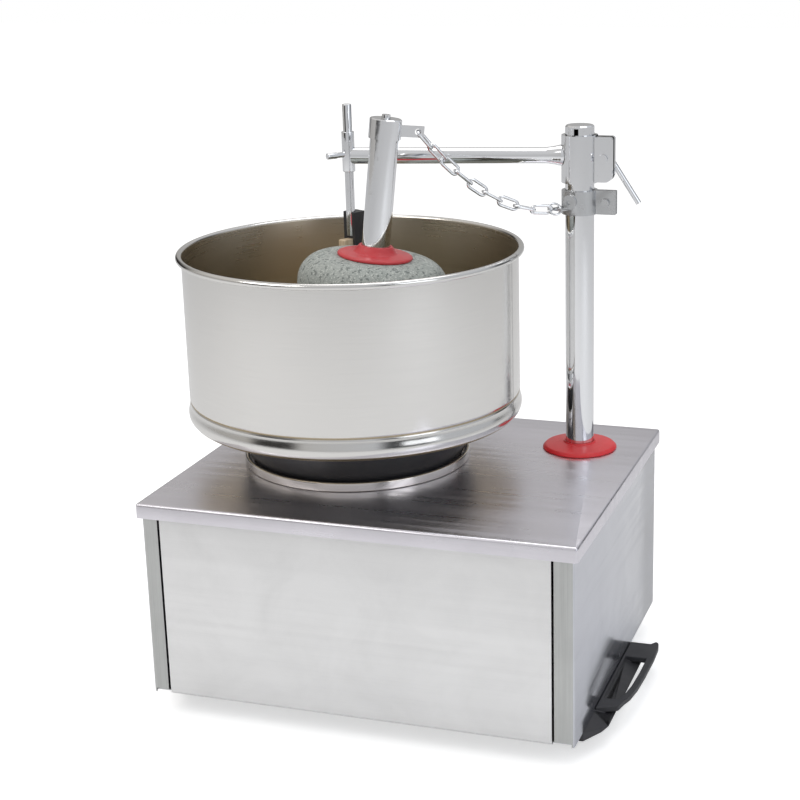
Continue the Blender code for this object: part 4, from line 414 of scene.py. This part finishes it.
def granite(name, wet=0.0):
    """Pale granite: light and dark grains, small dark flecks and a pecked surface."""
    material, tree, shader, place = new_material(name)
    warped = add(tree, "TexNoise", Vector=place, Scale=160.0, Detail=2.0)
    wander = warped.outputs["Color"]
    shift = (0.002, 0.002, 0.002)
    bent = add(tree, "VectorMath", {"operation": "MULTIPLY_ADD"}, in0=wander, in1=shift, in2=place)
    cells = add(tree, "TexVoronoi", Vector=bent.outputs[0], Scale=950.0)
    flecks = add(tree, "TexVoronoi", Vector=bent.outputs[0], Scale=430.0)
    level = add(tree, "SeparateColor", Color=cells.outputs["Color"]).outputs[0]
    dark = add(tree, "SeparateColor", Color=flecks.outputs["Color"]).outputs[1]
    body = mix_colour(tree, level, (0.30, 0.33, 0.31, 1), (0.46, 0.48, 0.45, 1))
    body = mix_colour(tree, ramp(tree, level, 0.80, 0.92), body, (0.62, 0.64, 0.60, 1))
    body = mix_colour(tree, ramp(tree, dark, 0.80, 0.90), body, (0.17, 0.19, 0.18, 1))
    patches = use_group(tree, PITS, Vector=place, Scale=900.0)
    worn = calc(tree, "MULTIPLY", patches.outputs["Patches"], 0.25)
    body = mix_colour(tree, worn, body, (0.40, 0.41, 0.38, 1))
    link(tree, body, shader.inputs["Base Color"])
    rough = calc(tree, "MULTIPLY_ADD", patches.outputs["Height"], 0.18, 0.62 - wet)
    link(tree, rough, shader.inputs["Roughness"])
    height = calc(tree, "MULTIPLY_ADD", level, 0.25, patches.outputs["Height"])
    set_bump(tree, shader, height, 0.6, 0.0004)
    return material


def moulded(name, colour, roughness, scale, strength=0.35, depth=0.0001, sheen=0.0, scatter=0.0):
    """Moulded, cast or painted surfaces with fine texture and worn patches."""
    material, tree, shader, place = new_material(name)
    pits = use_group(tree, PITS, Vector=place, Scale=scale)
    marks = use_group(tree, SMUDGES, Vector=place, Scale=20.0)
    pale = [min(1.0, channel * 1.35 + 0.012) for channel in colour]
    scuffed = [min(1.0, channel + 0.12) for channel in colour]
    tone = mix_colour(tree, calc(tree, "MULTIPLY", pits.outputs["Patches"], 0.35), rgba(colour), rgba(pale))
    tone = mix_colour(tree, calc(tree, "MULTIPLY", marks.outputs["Scratches"], 0.3), tone, rgba(scuffed))
    link(tree, tone, shader.inputs["Base Color"])
    rough = calc(tree, "MULTIPLY_ADD", marks.outputs["Cloud"], 0.14, roughness)
    link(tree, calc(tree, "MULTIPLY_ADD", pits.outputs["Height"], 0.05, rough), shader.inputs["Roughness"])
    if scatter:
        shader.inputs["Subsurface Weight"].default_value = scatter
        shader.inputs["Subsurface Radius"].default_value = (0.004, 0.0015, 0.001)
        shader.inputs["Subsurface Scale"].default_value = 1.0
    if sheen:
        shader.inputs["Coat Weight"].default_value = sheen
        shader.inputs["Coat Roughness"].default_value = 0.2
    set_bump(tree, shader, pits.outputs["Height"], strength, depth)
    return material


def bare_wood():
    """Pale wood with grain along the board's height and end marks from use."""
    material, tree, shader, place = new_material("bare_wood")
    along = stretch(tree, place, (70, 70, 4.5))
    rings = noise(tree, along, 1.0, 3.0, 0.5, 1.2)
    fibre = noise(tree, stretch(tree, place, (900, 900, 40)), 1.0, 3.0, 0.6)
    bands = calc(tree, "FRACT", calc(tree, "MULTIPLY", rings, 9.0))
    tone = mix_colour(tree, ramp(tree, bands, 0.1, 0.9), (0.74, 0.60, 0.42, 1), (0.60, 0.45, 0.28, 1))
    tone = mix_colour(tree, ramp(tree, fibre, 0.55, 0.75), tone, (0.42, 0.29, 0.17, 1))
    marks = use_group(tree, SMUDGES, Vector=place, Scale=16.0)
    tone = mix_colour(tree, calc(tree, "MULTIPLY", marks.outputs["Cloud"], 0.25), tone, (0.50, 0.40, 0.29, 1))
    link(tree, tone, shader.inputs["Base Color"])
    link(tree, calc(tree, "MULTIPLY_ADD", fibre, 0.25, 0.5), shader.inputs["Roughness"])
    set_bump(tree, shader, calc(tree, "MULTIPLY_ADD", bands, 0.3, fibre), 0.5, 0.0003)
    return material


DRUM_STEEL = spun_steel()
PLATE_STEEL = brushed_metal(
    "plate_steel", COLOURS["plate"], 0.33, fine=(9, 1500, 900), broad=(2, 120, 90),
    depth=0.000008, cloudy=0.05, contrast=0.03,
)
FRONT_STEEL = brushed_metal(
    "front_steel", COLOURS["front"], 0.48, fine=(7, 900, 1800), broad=(1.5, 90, 140),
    depth=0.000006, cloudy=0.04, contrast=0.02,
)
FLANGE_STEEL = brushed_metal(
    "flange_steel", COLOURS["flange"], 0.36, fine=(900, 900, 9), broad=(120, 120, 2),
)
SIDE_STEEL = brushed_metal(
    "side_steel", COLOURS["side"], 0.17, fine=(900, 6, 1700), broad=(90, 1.5, 160), depth=0.00001,
)
RING_STEEL = polished_metal("ring_steel", COLOURS["ring"], roughness=0.10, dirt=0.06)
CHROME = polished_metal("chrome", COLOURS["chrome"], roughness=0.05)
ZINC = polished_metal("zinc", COLOURS["zinc"], roughness=0.26, dirt=0.16)
ALUMINIUM = brushed_metal(
    "aluminium", COLOURS["aluminium"], 0.36, fine=(300, 300, 1500), broad=(40, 40, 160),
)
GRANITE = granite("granite")
FLOOR_GRANITE = granite("floor_granite", wet=0.12)
RED = moulded(
    "red_nylon", (0.56, 0.040, 0.048), 0.30, scale=700.0, strength=0.2, depth=0.00006,
    sheen=0.15, scatter=0.12,
)
SCARLET = moulded(
    "scarlet_nylon", (0.74, 0.022, 0.030), 0.28, scale=700.0, strength=0.2, depth=0.00006,
    sheen=0.2, scatter=0.10,
)
BLACK_CAST = moulded(
    "black_casting", (0.028, 0.028, 0.031), 0.36, scale=520.0, strength=0.45, depth=0.00015, sheen=0.1,
)
BLACK_PLASTIC = moulded("black_plastic", (0.030, 0.030, 0.034), 0.38, scale=900.0, strength=0.4)
RUBBER = moulded("rubber", (0.018, 0.018, 0.018), 0.75, scale=500.0, strength=0.5, depth=0.0002)
GREY_PAINT = moulded("grey_paint", (0.20, 0.22, 0.24), 0.42, scale=420.0, depth=0.00012, sheen=0.2)
WOOD = bare_wood()

FINISHES = {
    DRUM_STEEL: "drum_shell",
    PLATE_STEEL: "top_plate",
    FRONT_STEEL: "front_panel rear_panel",
    SIDE_STEEL: "left_side right_side",
    RING_STEEL: "seat_ring upper_bearing lower_bearing",
    CHROME: "post_tube axle_tube axle_cap arm_clamp arm_rod tee_sleeve scraper_rod clamp_lever "
    "rod_lock_screw chain_ring " + " ".join(f"chain_link_{i}" for i in range(1, 10)),
    ZINC: "base_tray spindle chain_clamp chain_clamp_bolt motor_shaft",
    ALUMINIUM: "driven_pulley motor_pulley capacitor",
    GRANITE: "roller_stone",
    FLOOR_GRANITE: "base_stone",
    RED: "stone_bush_top stone_bush_bottom switch_rocker",
    SCARLET: "post_bush",
    BLACK_CAST: "turntable scraper_holder",
    BLACK_PLASTIC: "left_handle right_handle switch_housing cable_gland",
    RUBBER: "foot_front_left foot_front_right foot_rear_left foot_rear_right drive_belt",
    GREY_PAINT: "mount_plate bearing_housing motor_body motor_bracket post_foot",
    WOOD: "scraper_board",
}

# Pieces

SHARP_ANGLE = math.radians(33)
BODY_OF = {}
for body, nodes in frame["record"]["behaviour"]["bodies"].items():
    for node in nodes:
        BODY_OF[node] = body


def stand_in(obj, node):
    """A finished piece takes a CAD node's place."""
    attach(obj, BODY_OF[node])
    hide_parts(node)


def finished(name, bm, materials, sharp=SHARP_ANGLE):
    """An object from a bmesh, smooth but for its sharp edges."""
    data = bpy.data.meshes.new(name)
    bm.to_mesh(data)
    bm.free()
    for material in materials:
        data.materials.append(material)
    data.shade_smooth()
    data.set_sharp_from_angle(angle=sharp)
    obj = bpy.data.objects.new(name, data)
    bpy.context.scene.collection.objects.link(obj)
    return obj


def apply_modifiers(obj):
    """The object's modifiers become part of its mesh."""
    depsgraph = bpy.context.evaluated_depsgraph_get()
    data = bpy.data.meshes.new_from_object(obj.evaluated_get(depsgraph))
    obj.modifiers.clear()
    obj.data = data


def softened(node, material, width):
    """A copy of a CAD node, smooth over its round faces and with eased edges."""
    bm = bmesh.new()
    bm.from_mesh(frame["nodes"][node].data)
    bmesh.ops.remove_doubles(bm, verts=bm.verts, dist=0.00002)
    bmesh.ops.dissolve_limit(bm, angle_limit=math.radians(0.6), verts=bm.verts, edges=bm.edges)
    obj = finished(node + "_finished", bm, [material])
    if width:
        bevel = obj.modifiers.new("easing", "BEVEL")
        bevel.width = width
        bevel.segments = 2
        bevel.limit_method = "ANGLE"
        bevel.angle_limit = SHARP_ANGLE
        bevel.harden_normals = True
        apply_modifiers(obj)
    stand_in(obj, node)
    return obj


def turned(node, profile, material, place=Matrix(), steps=128, sharp=SHARP_ANGLE):
    """A smooth turned piece. The profile is a closed loop, or starts and ends on the axis."""
    bm = bmesh.new()
    rings = []
    for radius, height in profile:
        if radius < 0.00001:
            rings.append([bm.verts.new((0, 0, height))])
            continue
        ring = []
        for i in range(steps):
            angle = math.tau * i / steps
            ring.append(bm.verts.new((radius * math.cos(angle), radius * math.sin(angle), height)))
        rings.append(ring)
    pairs = list(zip(rings, rings[1:]))
    if len(rings[0]) > 1:
        pairs.append((rings[-1], rings[0]))
    for upper, lower in pairs:
        for i in range(steps):
            j = (i + 1) % steps
            first = [upper[i % len(upper)], lower[i % len(lower)]]
            second = [lower[j % len(lower)], upper[j % len(upper)]]
            face = list(dict.fromkeys(first + second))
            if len(face) > 2:
                bm.faces.new(face)
    bmesh.ops.recalc_face_normals(bm, faces=bm.faces)
    bmesh.ops.transform(bm, matrix=place, verts=bm.verts)
    obj = finished(node + "_finished", bm, [material], sharp)
    stand_in(obj, node)


def arc(centre_radius, centre_height, radius, start, end, count):
    """Points of an arc in a profile, angles in degrees."""
    points = []
    for i in range(count):
        angle = math.radians(start + (end - start) * i / (count - 1))
        points.append((centre_radius + radius * math.cos(angle), centre_height + radius * math.sin(angle)))
    return points


def at(place, up=Vector((0, 0, 1))):
    """A turn of +Z onto a direction, and a place."""
    return Matrix.Translation(place) @ Vector((0, 0, 1)).rotation_difference(up).to_matrix().to_4x4()


def eased(profile, radius, count=4):
    """A closed profile with its convex and hollow corners rounded."""
    points = []
    total = len(profile)
    for i, point in enumerate(profile):
        here = Vector(point)
        if here.x < 0.00001:
            points.append(point)
            continue
        before = Vector(profile[i - 1]) - here
        after = Vector(profile[(i + 1) % total]) - here
        reach = min(radius, before.length * 0.45, after.length * 0.45)
        first = here + before.normalized() * reach
        last = here + after.normalized() * reach
        for k in range(count + 1):
            share = k / count
            low = first.lerp(here, share)
            points.append(tuple(low.lerp(here.lerp(last, share), share)))
    return points


def make_drum():
    """The drum, with a fuller rim, seam and foot than the CAD one."""
    inner = DRUM_OUTER - DRUM_SHEET
    bead = (RIM_OUTER - inner) / 2
    middle = inner + bead
    meet = -math.degrees(math.acos((DRUM_OUTER - middle) / bead))
    seam = []
    for i in range(13):
        share = i / 12
        seam.append((DRUM_OUTER - SEAM_DEPTH * math.sin(math.pi * share) ** 2, SEAM_TOP - SEAM_SPAN * share))
    swell = []
    for i in range(1, 9):
        share = i / 8
        bulge = SWELL * math.sin(math.pi / 2 * share) ** 2
        swell.append((DRUM_OUTER + bulge, SWELL_TOP - SWELL_DROP * share))
    outside = [
        *seam,
        *swell,
        *arc(DRUM_OUTER - FOOT_INSET, FOOT_CURVE, FOOT_CURVE, 0, -84, 14)[1:],
        (DRUM_OUTER - FLOOR_INSET, FLOOR_UNDER),
        (0, FLOOR_UNDER),
    ]
    inside = [
        (0, FLOOR_TOP),
        (inner - FLOOR_INSET, FLOOR_TOP),
        (inner - CORNER_INSET, CORNER_TOP),
        (inner, FOOT_CURVE),
        *[(radius - DRUM_SHEET, height) for radius, height in reversed(seam)],
    ]
    rim = arc(middle, RIM_TOP - bead, bead, 180, meet, 17)
    turned("drum_shell", inside + rim + outside, DRUM_STEEL, at(DRUM_AXIS), 192, math.radians(50))


def link_data(name, points, wire, material, around=14):
    """A closed ring of round wire along points in the XY plane."""
    bm = bmesh.new()
    total = len(points)
    rings = []
    for i, point in enumerate(points):
        before = Vector(points[i - 1])
        after = Vector(points[(i + 1) % total])
        along = (after - before).normalized()
        side = Vector((along.y, -along.x, 0))
        ring = []
        for k in range(around):
            angle = math.tau * k / around
            out = side * math.cos(angle) + Vector((0, 0, math.sin(angle)))
            ring.append(bm.verts.new(Vector(point) + wire / 2 * out))
        rings.append(ring)
    for i, ring in enumerate(rings):
        other = rings[(i + 1) % total]
        for k in range(around):
            m = (k + 1) % around
            bm.faces.new((ring[k], other[k], other[m], ring[m]))
    bmesh.ops.recalc_face_normals(bm, faces=bm.faces)
    return finished(name, bm, [material])


def own_axes(node):
    """The middle of a CAD link and its directions: along, across and flat."""
    points = [vertex.co for vertex in frame["nodes"][node].data.vertices]
    middle = sum(points, Vector()) / len(points)
    spread = Matrix(((0, 0, 0), (0, 0, 0), (0, 0, 0)))
    for point in points:
        away = point - middle
        for row in range(3):
            for column in range(3):
                spread[row][column] += away[row] * away[column]
    long_way = Vector((1, 0.3, 0.2)).normalized()
    for _ in range(60):
        long_way = (spread @ long_way).normalized()
    rest = spread.copy()
    big = (spread @ long_way).length
    for row in range(3):
        for column in range(3):
            rest[row][column] -= big * long_way[row] * long_way[column]
    wide = Vector((0.2, 1, 0.3))
    for _ in range(60):
        wide = (rest @ wide).normalized()
    flat = long_way.cross(wide).normalized()
    return Matrix.Translation(middle) @ Matrix((long_way, wide, flat)).transposed().to_4x4()


def make_chain():
    """Smooth links in place of the CAD ones."""
    radius = (LINK_WIDTH - LINK_WIRE) / 2
    half = (LINK_PITCH + LINK_WIRE) / 2 - radius
    outline = []
    for sign, start in ((1, -90), (-1, 90)):
        for i in range(15):
            angle = math.radians(start + 180 * i / 14)
            outline.append((sign * half + radius * math.cos(angle), radius * math.sin(angle), 0))
    ring_radius = (RING_WIDTH - RING_WIRE) / 2
    circle = []
    for i in range(40):
        angle = math.tau * i / 40
        circle.append((ring_radius * math.cos(angle), ring_radius * math.sin(angle), 0))
    loops = [(f"chain_link_{i}", outline, LINK_WIRE) for i in range(1, LINK_COUNT + 1)]
    loops.append(("chain_ring", circle, RING_WIRE))
    for node, points, wire in loops:
        obj = link_data(node + "_finished", points, wire, CHROME)
        obj.data.transform(own_axes(node))
        stand_in(obj, node)


def make_stone():
    """The roller, its upper bush and its axle, on their leaning axis."""
    axis = at(STONE_FOOT, STONE_UP)
    stone = [
        (STONE_BORE, STONE_HEIGHT),
        *arc(STONE_RADIUS - STONE_SHOULDER, STONE_HEIGHT - STONE_SHOULDER, STONE_SHOULDER, 90, 0, 20),
        *arc(STONE_RADIUS - STONE_HEEL, STONE_HEEL, STONE_HEEL, 0, -90, 8),
        (POCKET_RADIUS, 0),
        (POCKET_RADIUS, POCKET_DEPTH),
        (STONE_BORE, POCKET_DEPTH),
    ]
    axle = [(AXLE_OUTER, AXLE_HIGH), (AXLE_OUTER, AXLE_LOW), (AXLE_BORE, AXLE_LOW), (AXLE_BORE, AXLE_HIGH)]
    turned("roller_stone", stone, GRANITE, axis, 160)
    turned("stone_bush_top", eased(STONE_BUSH, 0.0012), RED, axis, 96)
    turned("axle_tube", axle, CHROME, axis, 72)


def make_post():
    """Bushes, rings and rods that are round throughout."""
    tip = arc(ROD_RADIUS - ROD_EASE, ROD_TOP - ROD_EASE, ROD_EASE, 90, 0, 5)
    rod = [(0, ROD_TOP), *tip, (ROD_RADIUS, ROD_LOW), (0, ROD_LOW)]
    screw_place = at(TEE_MIDDLE + Vector((0, 0, SCREW_LIFT)), SCREW_WAY)
    turned("post_bush", eased(POST_BUSH, 0.0012), SCARLET, at(POST_AXIS), 96)
    turned("seat_ring", eased(SEAT_RING, 0.0009), RING_STEEL, over_drum_seat(), 160)
    turned("scraper_rod", rod, CHROME, at(TEE_MIDDLE), 48)
    turned("tee_sleeve", eased(TEE_SLEEVE, 0.0006), CHROME, at(TEE_MIDDLE), 56)
    turned("rod_lock_screw", eased(LOCK_SCREW, 0.0005), CHROME, screw_place, 40)


def over_drum_seat():
    """The place on the top plate under the drum's axis."""
    return at((DRUM_AXIS.x, DRUM_AXIS.y, PLATE_TOP))


def make_base():
    """The granite floor and the turntable under the drum."""
    dish = FLOOR_RADIUS - FLOOR_DISH
    stone = [(0, FLOOR_FACE), (dish, FLOOR_FACE)]
    for i in range(1, 9):
        share = i / 8
        stone.append((dish + FLOOR_DISH_WIDTH * share, FLOOR_FACE + FLOOR_RISE * share**2))
    stone += [
        (FLOOR_RADIUS, FLOOR_FACE + FLOOR_RISE),
        (FLOOR_RADIUS, FLOOR_BASE + FLOOR_CHAMFER),
        (FLOOR_RADIUS - FLOOR_CHAMFER, FLOOR_BASE),
        (0, FLOOR_BASE),
    ]
    turned("base_stone", stone, FLOOR_GRANITE, at(DRUM_AXIS), 128)
    turned("turntable", eased(TURNTABLE, 0.002), BLACK_CAST, over_drum_seat(), 128)


def paint_flanges(obj):
    """The corner strips of a side are brushed upwards, its wall lengthways."""
    obj.data.materials.append(FLANGE_STEEL)
    for face in obj.data.polygons:
        if abs(face.normal.y) > 0.75:
            face.material_index = 1


def dress_nodes():
    """CAD nodes take their materials, whether or not a finished piece stands for them."""
    for material, names in FINISHES.items():
        for name in names.split():
            data = frame["nodes"][name].data
            data.materials.clear()
            data.materials.append(material)


def soften_rest():
    """Sheet, cast and moulded pieces get eased edges and smooth round faces."""
    for node, material, width in (
        ("front_panel", FRONT_STEEL, 0),
        ("rear_panel", FRONT_STEEL, 0),
        ("top_plate", PLATE_STEEL, 0),
        ("post_tube", CHROME, 0),
        ("arm_clamp", CHROME, 0.0006),
        ("arm_rod", CHROME, 0.0004),
        ("axle_cap", CHROME, 0.0004),
        ("clamp_lever", CHROME, 0.0005),
        ("chain_clamp", ZINC, 0.0005),
        ("chain_clamp_bolt", ZINC, 0.0004),
        ("scraper_holder", BLACK_CAST, 0.0008),
        ("scraper_board", WOOD, 0.0008),
        ("left_handle", BLACK_PLASTIC, 0.0012),
        ("right_handle", BLACK_PLASTIC, 0.0012),
        ("switch_housing", BLACK_PLASTIC, 0.0006),
        ("switch_rocker", RED, 0.0005),
        ("cable_gland", BLACK_PLASTIC, 0.0004),
        ("foot_front_left", RUBBER, 0.0006),
        ("foot_front_right", RUBBER, 0.0006),
        ("foot_rear_left", RUBBER, 0.0006),
        ("foot_rear_right", RUBBER, 0.0006),
    ):
        softened(node, material, width)
    for node in ("left_side", "right_side"):
        paint_flanges(softened(node, SIDE_STEEL, 0))


dress_nodes()
make_drum()
make_base()
make_stone()
make_post()
make_chain()
soften_rest()


# Floor, lights and camera


def make_floor():
    """A pale floor that goes white to the camera but still takes shadows."""
    material = bpy.data.materials.new("pale_floor")
    material.use_nodes = True
    tree = material.node_tree
    shader = tree.nodes["Principled BSDF"]
    place = tree.nodes.new("ShaderNodeTexCoord").outputs["Object"]
    cloud = noise(tree, place, 3.0, 3.0)
    tone = mix_colour(tree, cloud, (0.90, 0.90, 0.90, 1), (0.94, 0.94, 0.94, 1))
    link(tree, tone, shader.inputs["Base Color"])
    link(tree, calc(tree, "MULTIPLY_ADD", cloud, 0.1, 0.7), shader.inputs["Roughness"])
    rays = tree.nodes.new("ShaderNodeLightPath")
    seen = calc(tree, "MULTIPLY", rays.outputs["Is Camera Ray"], 0.55)
    white = add(tree, "Emission", Color=(1, 1, 1, 1), Strength=seen)
    both = add(tree, "AddShader", in0=shader.outputs[0], in1=white.outputs[0])
    link(tree, both.outputs[0], tree.nodes["Material Output"].inputs["Surface"])
    data = bpy.data.meshes.new("floor")
    data.from_pydata([(-9, -9, 0), (9, -9, 0), (9, 9, 0), (-9, 9, 0)], [], [(0, 1, 2, 3)])
    data.materials.append(material)
    floor = bpy.data.objects.new("floor", data)
    bpy.context.scene.collection.objects.link(floor)


def make_light(name, place, width, height, power, colour):
    """A soft box that faces the middle of the machine."""
    light = bpy.data.lights.new(name, "AREA")
    light.shape = "RECTANGLE"
    light.size = width
    light.size_y = height
    light.energy = power
    light.color = colour
    obj = bpy.data.objects.new(name, light)
    obj.location = place
    obj.rotation_euler = (LIT_POINT - Vector(place)).to_track_quat("-Z", "Y").to_euler()
    bpy.context.scene.collection.objects.link(obj)


def make_world():
    """A room for the steel to mirror: bright above, dim bands low down. White to the camera."""
    world = bpy.data.worlds.new("studio")
    bpy.context.scene.world = world
    world.use_nodes = True
    tree = world.node_tree
    back = tree.nodes["Background"]
    way = tree.nodes.new("ShaderNodeTexCoord").outputs["Generated"]
    split = add(tree, "SeparateXYZ", Vector=way)
    angle = calc(tree, "ARCTAN2", split.outputs[1], split.outputs[0])
    narrow = calc(tree, "SINE", calc(tree, "MULTIPLY_ADD", angle, 4.0, 0.9))
    bands = calc(tree, "MULTIPLY_ADD", narrow, 0.5, 0.5)
    bands = ramp(tree, bands, 0.16, 0.42, 0.05, 0.60)
    wide = calc(tree, "SINE", calc(tree, "MULTIPLY_ADD", angle, 1.0, 2.2))
    broad = calc(tree, "MULTIPLY_ADD", wide, 0.16, 0.84)
    bands = calc(tree, "MULTIPLY", bands, broad)
    height = ramp(tree, split.outputs[2], 0.22, 0.60)
    shade = calc(tree, "MULTIPLY_ADD", height, calc(tree, "SUBTRACT", 0.66, bands), bands)
    warm = ramp(tree, split.outputs[0], -0.7, 0.7)
    tint = mix_colour(tree, warm, (1.0, 0.97, 0.93, 1), (0.92, 0.95, 1.0, 1))
    grey = add(tree, "CombineColor", Red=shade, Green=shade, Blue=shade)
    room = mix_colour(tree, 1.0, tint, grey.outputs[0], "MULTIPLY")
    rays = tree.nodes.new("ShaderNodeLightPath")
    link(tree, mix_colour(tree, rays.outputs["Is Camera Ray"], room, (1, 1, 1, 1)), back.inputs["Color"])
    back.inputs["Strength"].default_value = 1.0


# The fitted camera: yaw, pitch and roll in degrees, and the picture's side and centre in pixels
CAMERA_ANGLES = (18.006, 16.182, -1.0355)
CAMERA_PLACE = (0.6193, -1.6846, 0.8601)
SENSOR = 36
FOCAL_PIXELS = 1693.3
PICTURE = 800
MIDDLE_X = 473.64
MIDDLE_Y = 380.92


def make_camera():
    """The photograph's view."""
    yaw, pitch, roll = (math.radians(angle) for angle in CAMERA_ANGLES)
    forward = Vector((-math.sin(yaw) * math.cos(pitch), math.cos(yaw) * math.cos(pitch), -math.sin(pitch)))
    level = Vector((math.cos(yaw), math.sin(yaw), 0))
    upright = level.cross(forward)
    right = math.cos(roll) * level + math.sin(roll) * upright
    up = -math.sin(roll) * level + math.cos(roll) * upright
    camera = bpy.data.cameras.new("camera")
    camera.sensor_width = SENSOR
    camera.lens = FOCAL_PIXELS / PICTURE * SENSOR
    camera.shift_x = (PICTURE / 2 - MIDDLE_X) / PICTURE
    camera.shift_y = (MIDDLE_Y - PICTURE / 2) / PICTURE
    obj = bpy.data.objects.new("camera", camera)
    place = Matrix((right, up, -forward)).transposed().to_4x4()
    obj.matrix_world = Matrix.Translation(CAMERA_PLACE) @ place
    bpy.context.scene.collection.objects.link(obj)
    bpy.context.scene.camera = obj


LIT_POINT = Vector((0, 0, 0.3))

make_floor()
make_world()
make_light("key", (-1.3, -1.5, 2.1), 1.5, 1.0, 15, (1.0, 0.99, 0.98))
make_light("fill", (1.9, -1.0, 1.2), 1.0, 1.4, 6, (0.93, 0.96, 1.0))
make_light("top", (0.1, 0.5, 2.4), 1.8, 1.2, 11, (1.0, 1.0, 1.0))
make_camera()
bpy.context.scene.view_settings.view_transform = "Standard"
